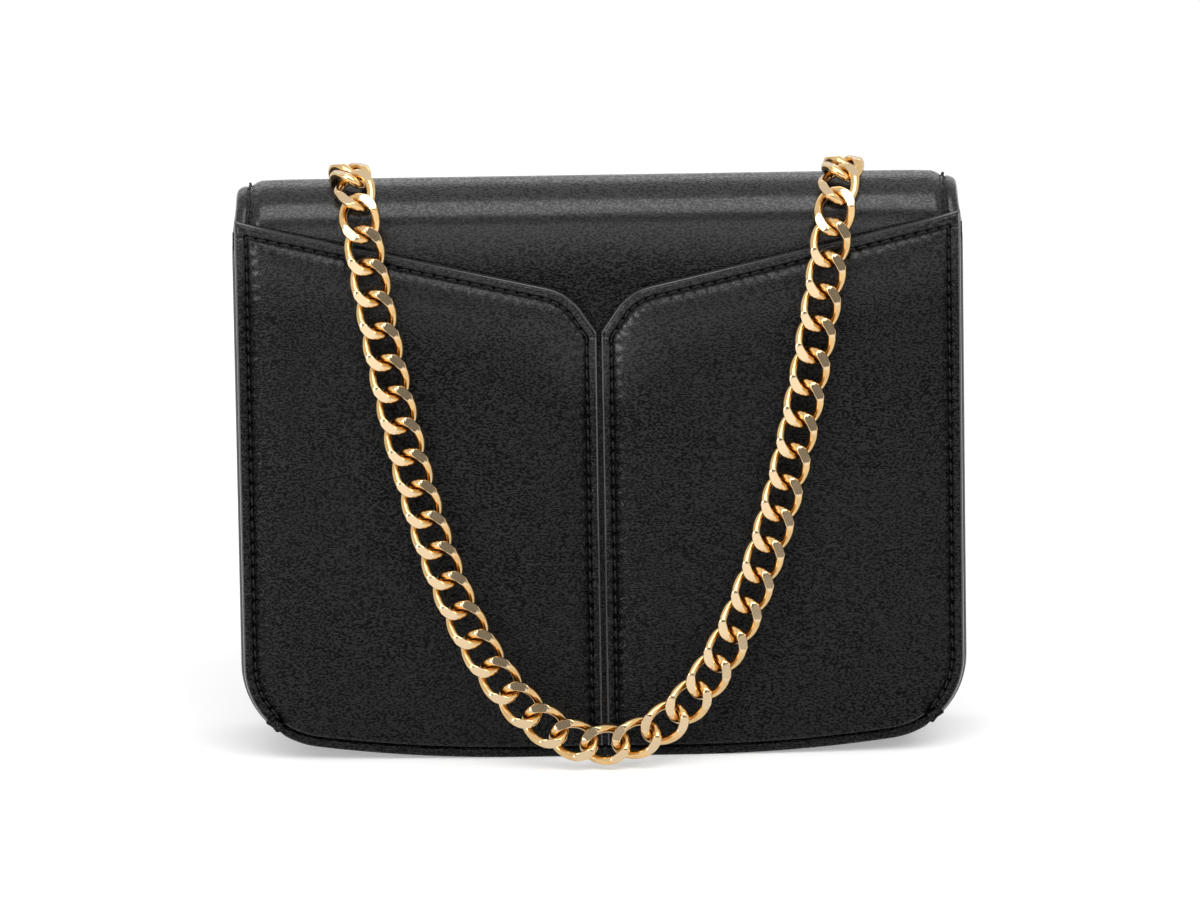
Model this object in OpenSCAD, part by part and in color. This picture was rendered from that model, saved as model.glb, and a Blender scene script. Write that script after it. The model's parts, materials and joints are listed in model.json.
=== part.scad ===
// Flap bag of padded leather, standing on its base with its curb chain hung over the rear crest.
// The rear face with its notched slip pocket looks along -Y, the flap hangs down the front at +Y.
// The origin is the middle of the bounding box at floor level. All sizes are in millimetres.

/* [Body] */
// Width across the side seams
bag_w = 210; // [180:1:240]
// Height of the crest above the floor
bag_h = 168; // [150:1:190]
// Depth from the rear panel's face to the front panel's face
bag_d = 56; // [48:1:76]
// Radius of the rear crest that the leather turns over
crest_r = 12.5; // [11:0.5:14]
// Angle that the crest's round runs on past its highest line
crest_turn = 14; // [10:1:18]
// Radius of the long curve from the crest down to the front ridge
top_r = 140; // [120:1:180]
// Radius of the front ridge that the flap turns over
ridge_r = 14; // [12:0.5:18]
// Radius of the two lower corners
corner_r = 25; // [18:1:32]
// Radius of the rise from the flat part of the base to the corners
base_rise_r = 430; // [350:5:600]
// Width of the flat part of the base
base_flat_w = 50; // [30:1:70]
// Radius of the two upper corners
top_corner_r = 5; // [3:0.5:8]
// Height by which the upper corners lie below the crest
crest_fall = 1.3; // [0:0.1:2.5]

/* [Leather] */
// Thickness of the body leather
leather_t = 1.6; // [1.2:0.1:2]
// Thickness of the stiffening boards
board_t = 1.2; // [0.8:0.1:1.6]
// Thickness of the lining
lining_t = 0.6; // [0.4:0.1:0.8]
// Thickness of the foam between a board and the lining
foam_t = 0.7; // [0.6:0.1:1.2]
// Thickness of the gusset leather
gusset_t = 1.2; // [1:0.1:1.6]
// Width of the seam margin down each side
seam_w = 4.2; // [3.8:0.1:5]
// Height of the base band below the panels
band_h = 3.2; // [2.6:0.1:3.6]
// Width by which the base band stands proud of the panels
band_proud = 1.2; // [0.6:0.1:1.8]
// Half width of the base band, up to the corner tabs
band_reach = 95; // [82:1:100]
// Half width of the bottom board, between the two gussets
base_board_reach = 79; // [60:1:79]
// Gap between cut leather edges that meet
cut_gap = 0.1; // [0.05:0.05:0.2]

/* [Rear pocket] */
// Drop of the pocket's edge below the crest at the sides
pocket_drop = 9; // [8:0.5:16]
// Slope of the pocket's edge towards the notch
pocket_slope = 12.8; // [8:0.2:15]
// Radius that rounds each panel into the notch
notch_r = 17; // [12:0.5:22]
// Slope at which each panel's edge falls into the notch
notch_fall = 56; // [45:1:70]
// Length of the straight fall below the round
notch_run = 7.5; // [4:0.5:12]
// Gap between the two panels below the notch
panel_gap = 1.2; // [0.8:0.1:2]
// Thickness of the panels' leather
pocket_t = 2.2; // [1.8:0.1:2.4]
// Thickness of the padding that swells each panel
pad_t = 1.4; // [0.8:0.1:1.6]
// Margin between a panel's edge and its padding
pad_inset = 5; // [4:0.2:7]
// Thickness of the pocket's lining sheet
pocket_lining_t = 0.8; // [0.5:0.1:1]
// Margin between the pocket's edge and its lining sheet
pocket_lining_inset = 2; // [1:0.5:3]

/* [Inner pocket] */
// Width of the slip pocket inside
inner_pocket_w = 120; // [80:1:150]
// Height of the slip pocket inside
inner_pocket_h = 72; // [50:1:85]
// Height of its lower edge above the floor
inner_pocket_z = 32; // [25:1:40]
// Thickness of its leather
inner_pocket_t = 0.8; // [0.6:0.1:1]
// Gap behind it, which its three sewn edges fill
inner_pocket_gap = 1; // [0.8:0.1:1.4]
// Width of its sewn edges
inner_pocket_edge = 3; // [2:0.5:4]

/* [Flap] */
// Distance of the flap's hinge line from the rear face
hinge_y = 27.5; // [27:0.5:30]
// Thickness of the flap's outer leather
flap_leather_t = 1.2; // [1:0.1:1.4]
// Thickness of the board in the flap's front
flap_board_t = 0.8; // [0.7:0.1:1]
// Thickness of the flap's lining leather
flap_lining_t = 1; // [0.8:0.1:1.2]
// Gap between the front panel and the closed flap
flap_gap = 1; // [0.8:0.1:1.5]
// Height of the flap's lower edge above the floor
flap_low = 50; // [40:1:60]
// Width by which the flap is narrower than the bag, at each side
flap_inset = 0.8; // [0:0.1:2]
// Radius of the flap's two lower corners
flap_corner_r = 24; // [15:1:35]
// Width of the flap's turned edge
flap_rim = 5; // [4:0.5:8]
// Gap at the hinge line and at the fold line
hinge_gap = 0.3; // [0.2:0.05:0.5]
// Angle of the fold line on the front ridge, above level
fold_angle = 45; // [40:1:50]

/* [Snap] */
// Height of the magnetic snap above the floor
snap_z = 70; // [66:1:85]
// Radius of the socket's disc
socket_r = 7; // [6:0.1:8]
// Thickness of the socket's disc
socket_t = 1.4; // [1.2:0.1:1.4]
// Radius of the socket's boss behind the disc
socket_boss_r = 3.6; // [3.4:0.1:4.2]
// Thickness of the wall at the end of the socket's bore
socket_floor = 0.6; // [0.4:0.1:0.8]
// Radius of the stud's disc
stud_r = 6.5; // [5.5:0.1:7.5]
// Thickness of the stud's disc
stud_t = 0.7; // [0.5:0.1:0.7]
// Radius of the stud's nub
nub_r = 2.2; // [1.8:0.1:2.4]
// Length of the stud's nub
nub_l = 2; // [1.5:0.1:2.1]
// Gap round the nub in the socket's bore
nub_gap = 0.5; // [0.4:0.1:0.7]
// Thickness of the washers behind the two halves
washer_t = 0.5; // [0.4:0.1:0.6]
// Radius of the washers
washer_r = 6; // [5.5:0.1:7]
// Gap round bosses and discs where they pass through leather or board
fit_gap = 0.1; // [0.05:0.05:0.2]

/* [Chain] */
// Distance from one link to the next
chain_pitch = 9.35; // [8.5:0.05:10.5]
// Half length of a link's wire line, as a share of the pitch
link_length_share = 0.6524; // [0.645:0.0002:0.66]
// Half width of a link's wire line, as a share of the pitch
link_width_share = 0.5027; // [0.495:0.0001:0.52]
// Height by which a link's wire line waves to each side, as a share of the pitch
link_wave_share = 0.1925; // [0.185:0.0005:0.2]
// Diameter of the wire, as a share of the pitch
link_wire_share = 0.2674; // [0.25:0.0002:0.27]
// Height of the ground flats above the link's middle plane, as a share of the pitch
link_flat_share = 0.246; // [0.23:0.001:0.26]
// Radius of the hanging chain's curve at its lowest point, as a share of the bag's width
hang_share = 0.1238; // [0.11:0.0002:0.14]
// Lean of the hanging chain away from the rear face
chain_lean = 4.5; // [3:0.5:7]
// Width by which the chain's turn over the crest is wider than the crest's own round
turn_ease = 1.1; // [0.5:0.1:3]
// Gap between the chain and the leather at the crest
chain_seat = 0.6; // [0.5:0.1:0.9]
// Gap between the hanging chain and the padding, and between the chain and the floor
chain_clear = 0.3; // [0.3:0.1:0.8]

/* [Chain ends] */
// Distance of the hinge pin behind the flap's hinge line
pin_back = 5.2; // [5:0.1:6]
// Height of the hinge pin's axis above the leather
pin_rise = 2.7; // [2.6:0.05:3]
// Radius of the hinge pin
pin_r = 0.9; // [0.8:0.05:1]
// Gap between the pin and the end eye's bore
pin_gap = 0.08; // [0.05:0.01:0.1]
// Radius of the end eye's barrel
barrel_r = 1.75; // [1.7:0.05:1.8]
// Length of the end eye's barrel, as a share of a link's width
barrel_share = 0.851; // [0.84:0.001:0.92]
// Depth by which the barrel and the end eye's loop run into each other
barrel_sink = 1.3; // [1.2:0.1:1.5]
// Gap between the barrel and each ear
ear_gap = 0.25; // [0.15:0.05:0.4]
// Thickness of the bracket's ears
ear_t = 1.2; // [1:0.1:1.5]
// Radius of the ears' rounded tops
ear_r = 1.8; // [1.6:0.05:1.9]
// Length of the pin's head outside each ear
pin_head = 0.5; // [0.3:0.1:0.8]
// Thickness of the bracket's base, which lies flush in the leather
bracket_t = 0.8; // [0.6:0.1:1]
// Depth of the bracket's base
bracket_d = 6; // [5:0.2:6.5]
// Width of the base outside each ear
bracket_wing = 3.4; // [3:0.1:4.5]
// Radius of the rivets
rivet_r = 0.8; // [0.6:0.05:0.9]
// Radius of the rivets' heads
rivet_head_r = 1.2; // [1.1:0.05:1.4]
// Height of the rivets' heads
rivet_head_t = 0.5; // [0.3:0.1:0.7]
// Thickness of the plate inside that backs each bracket
backing_t = 0.8; // [0.6:0.1:1]

/* [Hidden] */

$fn = 48;
black_leather = "#26262a";
black_lining = "#3a3a40";
grey_board = "#6a6a6a";
gold = "#d9b36c";
// Overrun of cuts beyond what they cut
cut = 1;
// Steps along each arc of an outline
arc_steps = 10;
// Rings along a link's wire and corners of its section
link_rings = 16;
link_sides = 6;

half_w = bag_w / 2;
flap_t = flap_leather_t + flap_board_t + flap_lining_t;
flap_out = bag_d + flap_gap + flap_t;

// Side view, as [y, z]: the crest's round, the long curve and the front ridge, each tangent to the next
crest_c = [crest_r, bag_h - crest_r];
crest_end = 90 - crest_turn;
top_c = crest_c + (crest_r - top_r) * [cos(crest_end), sin(crest_end)];
ridge_y = flap_out - ridge_r;
ridge_c = [ridge_y, top_c[1] + sqrt(pow(top_r - ridge_r, 2) - pow(ridge_y - top_c[0], 2))];
ridge_start = atan2(ridge_c[1] - top_c[1], ridge_c[0] - top_c[0]);
hinge_angle = acos((hinge_y - top_c[0]) / top_r);
hinge_z = top_c[1] + top_r * sin(hinge_angle);
hinge_half_angle = hinge_gap / 2 / top_r * 180 / PI;
fold_half_angle = hinge_gap / 2 / ridge_r * 180 / PI;
front_panel_h = ridge_c[1];
board_inset = seam_w + gusset_t + cut_gap;

// Front view: the rise of the base meets the corner's round, which meets the side
rise_c = [base_flat_w / 2, base_rise_r];
corner_x = half_w - corner_r;
corner_c = [corner_x, base_rise_r - sqrt(pow(base_rise_r - corner_r, 2) - pow(corner_x - rise_c[0], 2))];
corner_start = atan2(corner_c[1] - rise_c[1], corner_c[0] - rise_c[0]);

// Rear pocket: the edge runs straight, turns round the notch and falls straight to the gap
notch_x = panel_gap / 2 + notch_run * cos(notch_fall) + notch_r * sin(notch_fall);
notch_c = [
    notch_x,
    bag_h - pocket_drop - (half_w - notch_x) * tan(pocket_slope) - notch_r / cos(pocket_slope)
];
function notch_end(edge) = notch_c + edge * [-sin(notch_fall), cos(notch_fall)];
function notch_foot(inset) =
    notch_end(notch_r - inset)[1]
        - (notch_end(notch_r - inset)[0] - panel_gap / 2 - inset) * tan(notch_fall);
pocket_stack = pocket_lining_t + pocket_t + pad_t;

// Chain: a link's sizes, where the turn over the crest starts and how far down the chain hangs
link_half_l = chain_pitch * link_length_share;
link_half_w = chain_pitch * link_width_share;
link_wave = chain_pitch * link_wave_share;
link_wire = chain_pitch * link_wire_share;
link_flat = chain_pitch * link_flat_share;
chain_half_w = link_half_w + link_wire / 2;
hang_r = bag_w * hang_share;
chain_turn_r = crest_r + chain_seat + link_flat + turn_ease;
turn_start = [
    -(pocket_stack + link_flat + chain_clear),
    bag_h + chain_seat + link_flat - chain_turn_r * (1 - sin(chain_lean))
];
turn_c = turn_start + chain_turn_r * [cos(chain_lean), -sin(chain_lean)];
hang_room = (turn_start[1] - chain_half_w - chain_clear) / cos(chain_lean);
drop_count = floor(sqrt(pow(hang_room + hang_r, 2) - pow(hang_r, 2)) / chain_pitch - 1 / 2);
drop_len = (drop_count + 1 / 2) * chain_pitch;
function hang_z(s) = sqrt(hang_r * hang_r + s * s) - hang_r;
function hang_x(s) = hang_r * ln(s / hang_r + sqrt(1 + pow(s / hang_r, 2)));
hang_h = hang_z(drop_len);

// The lowest link reaches furthest back and the flap furthest forward
chain_back = turn_start[0] - hang_h * sin(chain_lean) - link_flat * cos(chain_lean)
    - link_half_w * sin(chain_lean);
middle_y = (chain_back + flap_out) / 2;

// Hinge pins: a point on the leather and the slope there
pin_surface_y = hinge_y - pin_back;
pin_angle = acos((pin_surface_y - top_c[0]) / top_r);
pin_surface = [pin_surface_y, top_c[1] + top_r * sin(pin_angle)];
pin_slope = 90 - pin_angle;
pin_pos = pin_surface + pin_rise * [cos(pin_angle), sin(pin_angle)];
barrel_l = 2 * link_half_w * barrel_share;
ear_x = barrel_l / 2 + ear_gap;
bracket_half_w = ear_x + ear_t + bracket_wing;
rivet_x = ear_x + ear_t + bracket_wing / 2;
rivet_l = leather_t + board_t + backing_t;

// End eyes: a short link between the last hinge point of the chain and the pin
last_point = chain_point(drop_count + 7 / 2);
link_reach = link_half_l - chain_pitch / 2;
eye_span = norm([pin_pos[0] - last_point[1], pin_pos[1] - last_point[2]]);
eye_half_l = (eye_span + link_reach - barrel_sink) / 2;
chain_end_x = last_point[0];

// Points of an arc round c from angle a0 to angle a1
function arc(c, r, a0, a1) =
    [for (i = [0:arc_steps]) let (a = a0 + (a1 - a0) * i / arc_steps) c + r * [cos(a), sin(a)]];

// Right half of the bag's outline in front view, moved inwards by inset, from the base up to height top
function half_outline(inset, top) = concat(
    [[0, inset]],
    arc(rise_c, base_rise_r - inset, -90, corner_start),
    arc(corner_c, corner_r - inset, corner_start, 0),
    [[half_w - inset, top]]
);

function mirrored(points) = concat(points, [for (i = [len(points) - 1:-1:0]) [-points[i][0], points[i][1]]]);

// Side view of the fixed top between two depths below its outer surface, up to angle end on the long curve
function crest_ring(out, in, end) = concat(
    arc(crest_c, crest_r - out, 180, crest_end),
    arc(top_c, top_r - out, crest_end, end),
    arc(top_c, top_r - in, end, crest_end),
    arc(crest_c, crest_r - in, crest_end, 180)
);

function flap_top_ring(out, in) = concat(
    arc(top_c, top_r - out, hinge_angle - hinge_half_angle, ridge_start),
    arc(ridge_c, ridge_r - out, ridge_start, fold_angle + fold_half_angle),
    arc(ridge_c, ridge_r - in, fold_angle + fold_half_angle, ridge_start),
    arc(top_c, top_r - in, ridge_start, hinge_angle - hinge_half_angle)
);

function ridge_ring(out, in) = concat(
    arc(ridge_c, ridge_r - out, fold_angle - fold_half_angle, 0),
    arc(ridge_c, ridge_r - in, 0, fold_angle - fold_half_angle)
);

// Hinge points of the chain as [x, y, z], counted from the middle of the lowest link in pitches
function chain_point(n) =
    let (s = n * chain_pitch, turned = (hang_z(s) - hang_h) / chain_turn_r * 180 / PI)
    n <= drop_count + 1 / 2
    ? [hang_x(s), turn_start[0] - (hang_h - hang_z(s)) * sin(chain_lean),
        turn_start[1] - (hang_h - hang_z(s)) * cos(chain_lean)]
    : [hang_x(s), turn_c[0] + chain_turn_r * cos(180 - chain_lean - turned),
        turn_c[1] + chain_turn_r * sin(180 - chain_lean - turned)];

function unit(v) = v / norm(v);

// The way that a link's flats face, which for the level lowest link is square to the hanging plane
function link_out(along) =
    let (out = cross([1, 0, 0], along))
    norm(out) > 0 ? unit(out) : [0, -cos(chain_lean), sin(chain_lean)];

// Point j of ring i on a link's wire: u along the chain, v across it, w out of its plane
function link_point(i, j, half_l) =
    let (t = 360 * i / link_rings, p = 360 * (j + 1 / 2) / link_sides,
        along = [-half_l * sin(t), link_half_w * cos(t), -2 * link_wave * cos(2 * t)],
        out = unit(cross(along, [0, 0, 1])),
        up = unit(cross(out, along)),
        point = [half_l * cos(t), link_half_w * sin(t), -link_wave * sin(2 * t)]
            + link_wire / 2 * (cos(p) * out + sin(p) * up))
    [point[0], point[1], max(-link_flat, min(link_flat, point[2]))];

// Places what it holds in the bag's frame
module placed() {
    translate([0, -middle_y, 0]) children();
}

// Extrudes a front view along Y from y0 to y1
module front_slab(y0, y1) {
    translate([0, y1, 0]) rotate([90, 0, 0]) linear_extrude(y1 - y0) children();
}

// Extrudes a side view, drawn as [y, z], along X between two places
module side_slab(x0, x1) {
    translate([x0, 0, 0]) rotate([90, 0, 90]) linear_extrude(x1 - x0) children();
}

module outline(inset, top) {
    polygon(mirrored(half_outline(inset, top)));
}

// The outline with rounded upper corners
module crowned_outline() {
    shoulder = bag_h - crest_fall - top_corner_r;
    outline(0, shoulder);
    polygon(mirrored(concat(
        [[0, shoulder - cut]],
        [[half_w, shoulder - cut]],
        arc([half_w - top_corner_r, shoulder], top_corner_r, 0, 90),
        [[0, bag_h]]
    )));
}

// The part of the outline that the base band fills
module band_region(gap) {
    intersection() {
        difference() {
            outline(0, corner_c[1]);
            outline(band_h + gap, bag_h);
        }
        translate([-band_reach - gap, 0]) square([2 * (band_reach + gap), corner_c[1]]);
    }
}

module panel_outline(top) {
    difference() {
        outline(0, top);
        band_region(cut_gap);
    }
}

// Everything below the pocket's edge on the right side, moved inwards by inset
module pocket_region(inset) {
    edge = notch_r - inset;
    low_z = -cut;
    straight_end = notch_c + edge * [-sin(pocket_slope), cos(pocket_slope)];
    polygon(concat(
        [[panel_gap / 2 + inset, low_z], [panel_gap / 2 + inset, notch_foot(inset)]],
        arc(notch_c, edge, 90 + notch_fall, 90 + pocket_slope),
        [[half_w, straight_end[1] + (half_w - straight_end[0]) * tan(pocket_slope)]],
        [[half_w, low_z]]
    ));
}

module at_pin(side) {
    translate([side * chain_end_x, pin_surface[0], pin_surface[1]]) rotate([-pin_slope, 0, 0]) children();
}

module rivet_holes() {
    for (side = [-1, 1])
        at_pin(side)
            for (x = [-rivet_x, rivet_x])
                translate([x, 0, -rivet_l - cut]) cylinder(r = rivet_r + fit_gap, h = rivet_l + 2 * cut);
}

module back_panel() {
    color(black_leather) placed() difference() {
        intersection() {
            union() {
                front_slab(0, leather_t) panel_outline(crest_c[1]);
                side_slab(-half_w, half_w) polygon(crest_ring(0, leather_t, hinge_angle + hinge_half_angle));
            }
            front_slab(-cut, bag_d) crowned_outline();
        }
        for (side = [-1, 1])
            at_pin(side)
                translate([-bracket_half_w - fit_gap, -bracket_d / 2 - fit_gap, -bracket_t])
                    cube([2 * (bracket_half_w + fit_gap), bracket_d + 2 * fit_gap, bracket_t + cut]);
        rivet_holes();
    }
}

module back_board() {
    color(grey_board) placed() front_slab(leather_t, leather_t + board_t)
        outline(board_inset, crest_c[1]);
}

module top_board() {
    reach = half_w - board_inset;
    color(grey_board) placed() difference() {
        side_slab(-reach, reach)
            polygon(crest_ring(leather_t, leather_t + board_t, hinge_angle + hinge_half_angle));
        rivet_holes();
    }
}

module pocket_lining() {
    color(black_lining) placed() front_slab(-pocket_lining_t, 0)
        intersection() {
            panel_outline(bag_h);
            union() {
                pocket_region(pocket_lining_inset);
                mirror([1, 0]) pocket_region(pocket_lining_inset);
                translate([-panel_gap / 2 - pocket_lining_inset, 0])
                    square([panel_gap + 2 * pocket_lining_inset, notch_foot(pocket_lining_inset)]);
            }
        }
}

module pocket_panel() {
    placed() {
        front_slab(-pocket_lining_t - pocket_t, -pocket_lining_t)
            intersection() {
                panel_outline(bag_h);
                pocket_region(0);
            }
        front_slab(-pocket_stack, -pocket_lining_t - pocket_t)
            intersection() {
                outline(pad_inset, bag_h);
                pocket_region(pad_inset);
            }
    }
}

module pocket_panel_left() {
    color(black_leather) mirror([1, 0, 0]) pocket_panel();
}

module pocket_panel_right() {
    color(black_leather) pocket_panel();
}

module front_panel() {
    color(black_leather) placed() difference() {
        front_slab(bag_d - leather_t, bag_d) panel_outline(front_panel_h);
        translate([0, bag_d + cut, snap_z]) rotate([90, 0, 0])
            cylinder(r = socket_r + fit_gap, h = leather_t + 2 * cut);
    }
}

module front_board() {
    outer = bag_d - leather_t;
    color(grey_board) placed() difference() {
        front_slab(outer - board_t, outer) outline(board_inset, front_panel_h);
        translate([0, outer + cut, snap_z]) rotate([90, 0, 0])
            cylinder(r = socket_boss_r + fit_gap, h = board_t + 2 * cut);
    }
}

// Side view of the room below the flap and the fixed top
module gusset_profile(below) {
    polygon(concat(
        [[0, 0]],
        arc(crest_c, crest_r - below, 180, crest_end),
        arc(top_c, top_r - below, crest_end, ridge_start),
        arc(ridge_c, ridge_r - below, ridge_start, 0),
        [[ridge_c[0] + ridge_r - below, 0]]
    ));
}

module gusset_right() {
    wall_top = flap_t + chain_seat;
    color(black_leather) placed() intersection() {
        union() {
            front_slab(leather_t, bag_d - leather_t) difference() {
                outline(seam_w, bag_h);
                outline(seam_w + gusset_t, bag_h + cut);
            }
            for (y = [leather_t, bag_d - leather_t - gusset_t])
                front_slab(y, y + gusset_t) difference() {
                    outline(0, bag_h);
                    outline(seam_w, bag_h + cut);
                    band_region(cut_gap);
                }
        }
        side_slab(base_board_reach + cut_gap, half_w) gusset_profile(wall_top);
        front_slab(0, bag_d) difference() {
            outline(0, bag_h);
            translate([-half_w, 0]) square([half_w + band_reach, seam_w + cut_gap]);
        }
    }
}

module gusset_left() {
    mirror([1, 0, 0]) gusset_right();
}

module bottom_panel() {
    color(black_leather) placed() {
        front_slab(-band_proud, bag_d + band_proud) band_region(0);
        front_slab(leather_t, bag_d - leather_t) difference() {
            intersection() {
                outline(band_h / 2, seam_w + band_h);
                translate([-base_board_reach, 0]) square([2 * base_board_reach, corner_c[1]]);
            }
            outline(seam_w, bag_h);
        }
    }
}

module base_board() {
    color(grey_board) placed() front_slab(leather_t + board_t, bag_d - leather_t - board_t)
        intersection() {
            difference() {
                outline(seam_w, corner_c[1]);
                outline(seam_w + board_t + cut_gap, bag_h);
            }
            translate([-base_board_reach, 0]) square([2 * base_board_reach, corner_c[1]]);
        }
}

module lining() {
    inset = seam_w + gusset_t + cut_gap + foam_t / 2;
    back = leather_t + board_t;
    front = bag_d - leather_t - board_t - foam_t;
    reach = half_w - inset - lining_t;
    color(black_lining) placed() {
        front_slab(back, back + lining_t) outline(inset, crest_c[1]);
        front_slab(front - lining_t, front) outline(inset, front_panel_h);
        intersection() {
            front_slab(back + lining_t, front - lining_t) difference() {
                outline(inset, bag_h);
                outline(inset + lining_t, bag_h + cut);
            }
            side_slab(-half_w, half_w) gusset_profile(flap_t + chain_seat + lining_t);
        }
        difference() {
            side_slab(-reach, reach)
                polygon(crest_ring(back, back + lining_t, hinge_angle + hinge_half_angle));
            for (side = [-1, 1])
                at_pin(side)
                    translate([-bracket_half_w - cut, -bracket_d / 2 - cut, -rivet_l - cut])
                        cube([2 * (bracket_half_w + cut), bracket_d + 2 * cut, rivet_l + 2 * cut]);
        }
    }
}

module inner_pocket() {
    back = leather_t + board_t + lining_t;
    color(black_leather) placed() translate([-inner_pocket_w / 2, back, inner_pocket_z]) {
        translate([0, inner_pocket_gap, 0]) cube([inner_pocket_w, inner_pocket_t, inner_pocket_h]);
        for (x = [0, inner_pocket_w - inner_pocket_edge])
            translate([x, 0, 0]) cube([inner_pocket_edge, inner_pocket_gap, inner_pocket_h]);
        cube([inner_pocket_w, inner_pocket_gap, inner_pocket_edge]);
    }
}

module snap_socket() {
    seat = bag_d - leather_t;
    color("silver") placed() translate([0, seat, snap_z]) rotate([-90, 0, 0]) difference() {
        union() {
            cylinder(r = socket_r, h = socket_t);
            translate([0, 0, -board_t - washer_t]) cylinder(r = socket_boss_r, h = board_t + washer_t);
        }
        translate([0, 0, socket_floor - board_t - washer_t])
            cylinder(r = nub_r + nub_gap, h = board_t + washer_t + socket_t);
    }
}

module snap_socket_washer() {
    seat = bag_d - leather_t - board_t - washer_t;
    color("silver") placed() translate([0, seat, snap_z]) rotate([-90, 0, 0]) difference() {
        cylinder(r = washer_r, h = washer_t);
        translate([0, 0, -cut]) cylinder(r = socket_boss_r + fit_gap, h = washer_t + 2 * cut);
    }
}

// Front view of the hanging part of the flap, moved inwards by inset
module flap_outline(inset, top) {
    side = half_w - flap_inset - inset;
    round_r = flap_corner_r - inset;
    low = flap_low + inset;
    polygon(mirrored(concat(
        [[0, low]],
        arc([side - round_r, low + round_r], round_r, -90, 0),
        [[side, top]]
    )));
}

module flap_top_leather() {
    side = half_w - flap_inset;
    color(black_leather) placed() side_slab(-side, side) polygon(flap_top_ring(0, flap_leather_t));
}

module flap_top_lining() {
    side = half_w - flap_inset;
    color(black_lining) placed() side_slab(-side, side) polygon(flap_top_ring(flap_leather_t, flap_t));
}

module flap_front_leather() {
    side = half_w - flap_inset;
    inner = flap_out - flap_leather_t;
    color(black_leather) placed() {
        side_slab(-side, side) polygon(ridge_ring(0, flap_leather_t));
        front_slab(inner, flap_out) flap_outline(0, ridge_c[1]);
        front_slab(inner - flap_board_t, inner) difference() {
            flap_outline(0, ridge_c[1]);
            flap_outline(flap_rim, ridge_c[1] + cut);
        }
    }
}

module flap_front_board() {
    outer = flap_out - flap_leather_t;
    color(grey_board) placed() difference() {
        front_slab(outer - flap_board_t, outer) flap_outline(flap_rim + cut_gap, ridge_c[1]);
        translate([0, outer + cut, snap_z]) rotate([90, 0, 0])
            cylinder(r = washer_r + fit_gap, h = flap_board_t + 2 * cut);
    }
}

module flap_front_lining() {
    side = half_w - flap_inset;
    inner = bag_d + flap_gap;
    color(black_lining) placed() {
        side_slab(-side, side) polygon(ridge_ring(flap_leather_t, flap_t));
        difference() {
            front_slab(inner, inner + flap_lining_t) flap_outline(0, ridge_c[1]);
            translate([0, inner + flap_lining_t + cut, snap_z]) rotate([90, 0, 0])
                cylinder(r = nub_r + fit_gap, h = flap_lining_t + 2 * cut);
        }
    }
}

module snap_stud() {
    inner = bag_d + flap_gap;
    color("silver") placed() translate([0, inner, snap_z]) rotate([90, 0, 0]) {
        cylinder(r = stud_r, h = stud_t);
        cylinder(r = nub_r, h = stud_t + nub_l);
        translate([0, 0, -flap_lining_t - washer_t]) cylinder(r = nub_r, h = flap_lining_t + washer_t);
    }
}

module snap_stud_washer() {
    inner = bag_d + flap_gap + flap_lining_t;
    color("silver") placed() translate([0, inner, snap_z]) rotate([-90, 0, 0]) difference() {
        cylinder(r = washer_r, h = washer_t);
        translate([0, 0, -cut]) cylinder(r = nub_r + fit_gap, h = washer_t + 2 * cut);
    }
}

module chain_bracket(side) {
    placed() at_pin(side) difference() {
        union() {
            translate([-bracket_half_w, -bracket_d / 2, -bracket_t])
                cube([2 * bracket_half_w, bracket_d, bracket_t]);
            for (x = [-ear_x - ear_t, ear_x])
                translate([x, 0, 0]) {
                    translate([0, -ear_r, 0]) cube([ear_t, 2 * ear_r, pin_rise]);
                    translate([0, 0, pin_rise]) rotate([0, 90, 0]) cylinder(r = ear_r, h = ear_t);
                }
        }
        translate([-bracket_half_w, 0, pin_rise]) rotate([0, 90, 0])
            cylinder(r = pin_r, h = 2 * bracket_half_w);
        for (x = [-rivet_x, rivet_x])
            translate([x, 0, -bracket_t - cut]) cylinder(r = rivet_r, h = bracket_t + 2 * cut);
    }
}

module chain_bracket_left() {
    color(gold) chain_bracket(-1);
}

module chain_bracket_right() {
    color(gold) chain_bracket(1);
}

module chain_backing(side) {
    placed() at_pin(side) difference() {
        translate([-bracket_half_w, -bracket_d / 2, -rivet_l - cut_gap])
            cube([2 * bracket_half_w, bracket_d, backing_t]);
        for (x = [-rivet_x, rivet_x])
            translate([x, 0, -rivet_l - cut]) cylinder(r = rivet_r, h = backing_t + 2 * cut);
    }
}

module chain_backing_left() {
    color("silver") chain_backing(-1);
}

module chain_backing_right() {
    color("silver") chain_backing(1);
}

module chain_rivets() {
    color(gold) placed() for (side = [-1, 1])
        at_pin(side)
            for (x = [-rivet_x, rivet_x])
                translate([x, 0, 0]) {
                    cylinder(r = rivet_head_r, h = rivet_head_t);
                    translate([0, 0, -rivet_l - cut_gap]) cylinder(r = rivet_r, h = rivet_l + cut_gap);
                    translate([0, 0, -rivet_l - cut_gap - rivet_head_t])
                        cylinder(r = rivet_head_r, h = rivet_head_t);
                }
}

module chain_pin(side) {
    reach = ear_x + ear_t + pin_head;
    placed() at_pin(side) translate([-reach, 0, pin_rise]) rotate([0, 90, 0])
        cylinder(r = pin_r, h = 2 * reach);
}

module chain_pin_left() {
    color(gold) chain_pin(-1);
}

module chain_pin_right() {
    color(gold) chain_pin(1);
}

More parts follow.
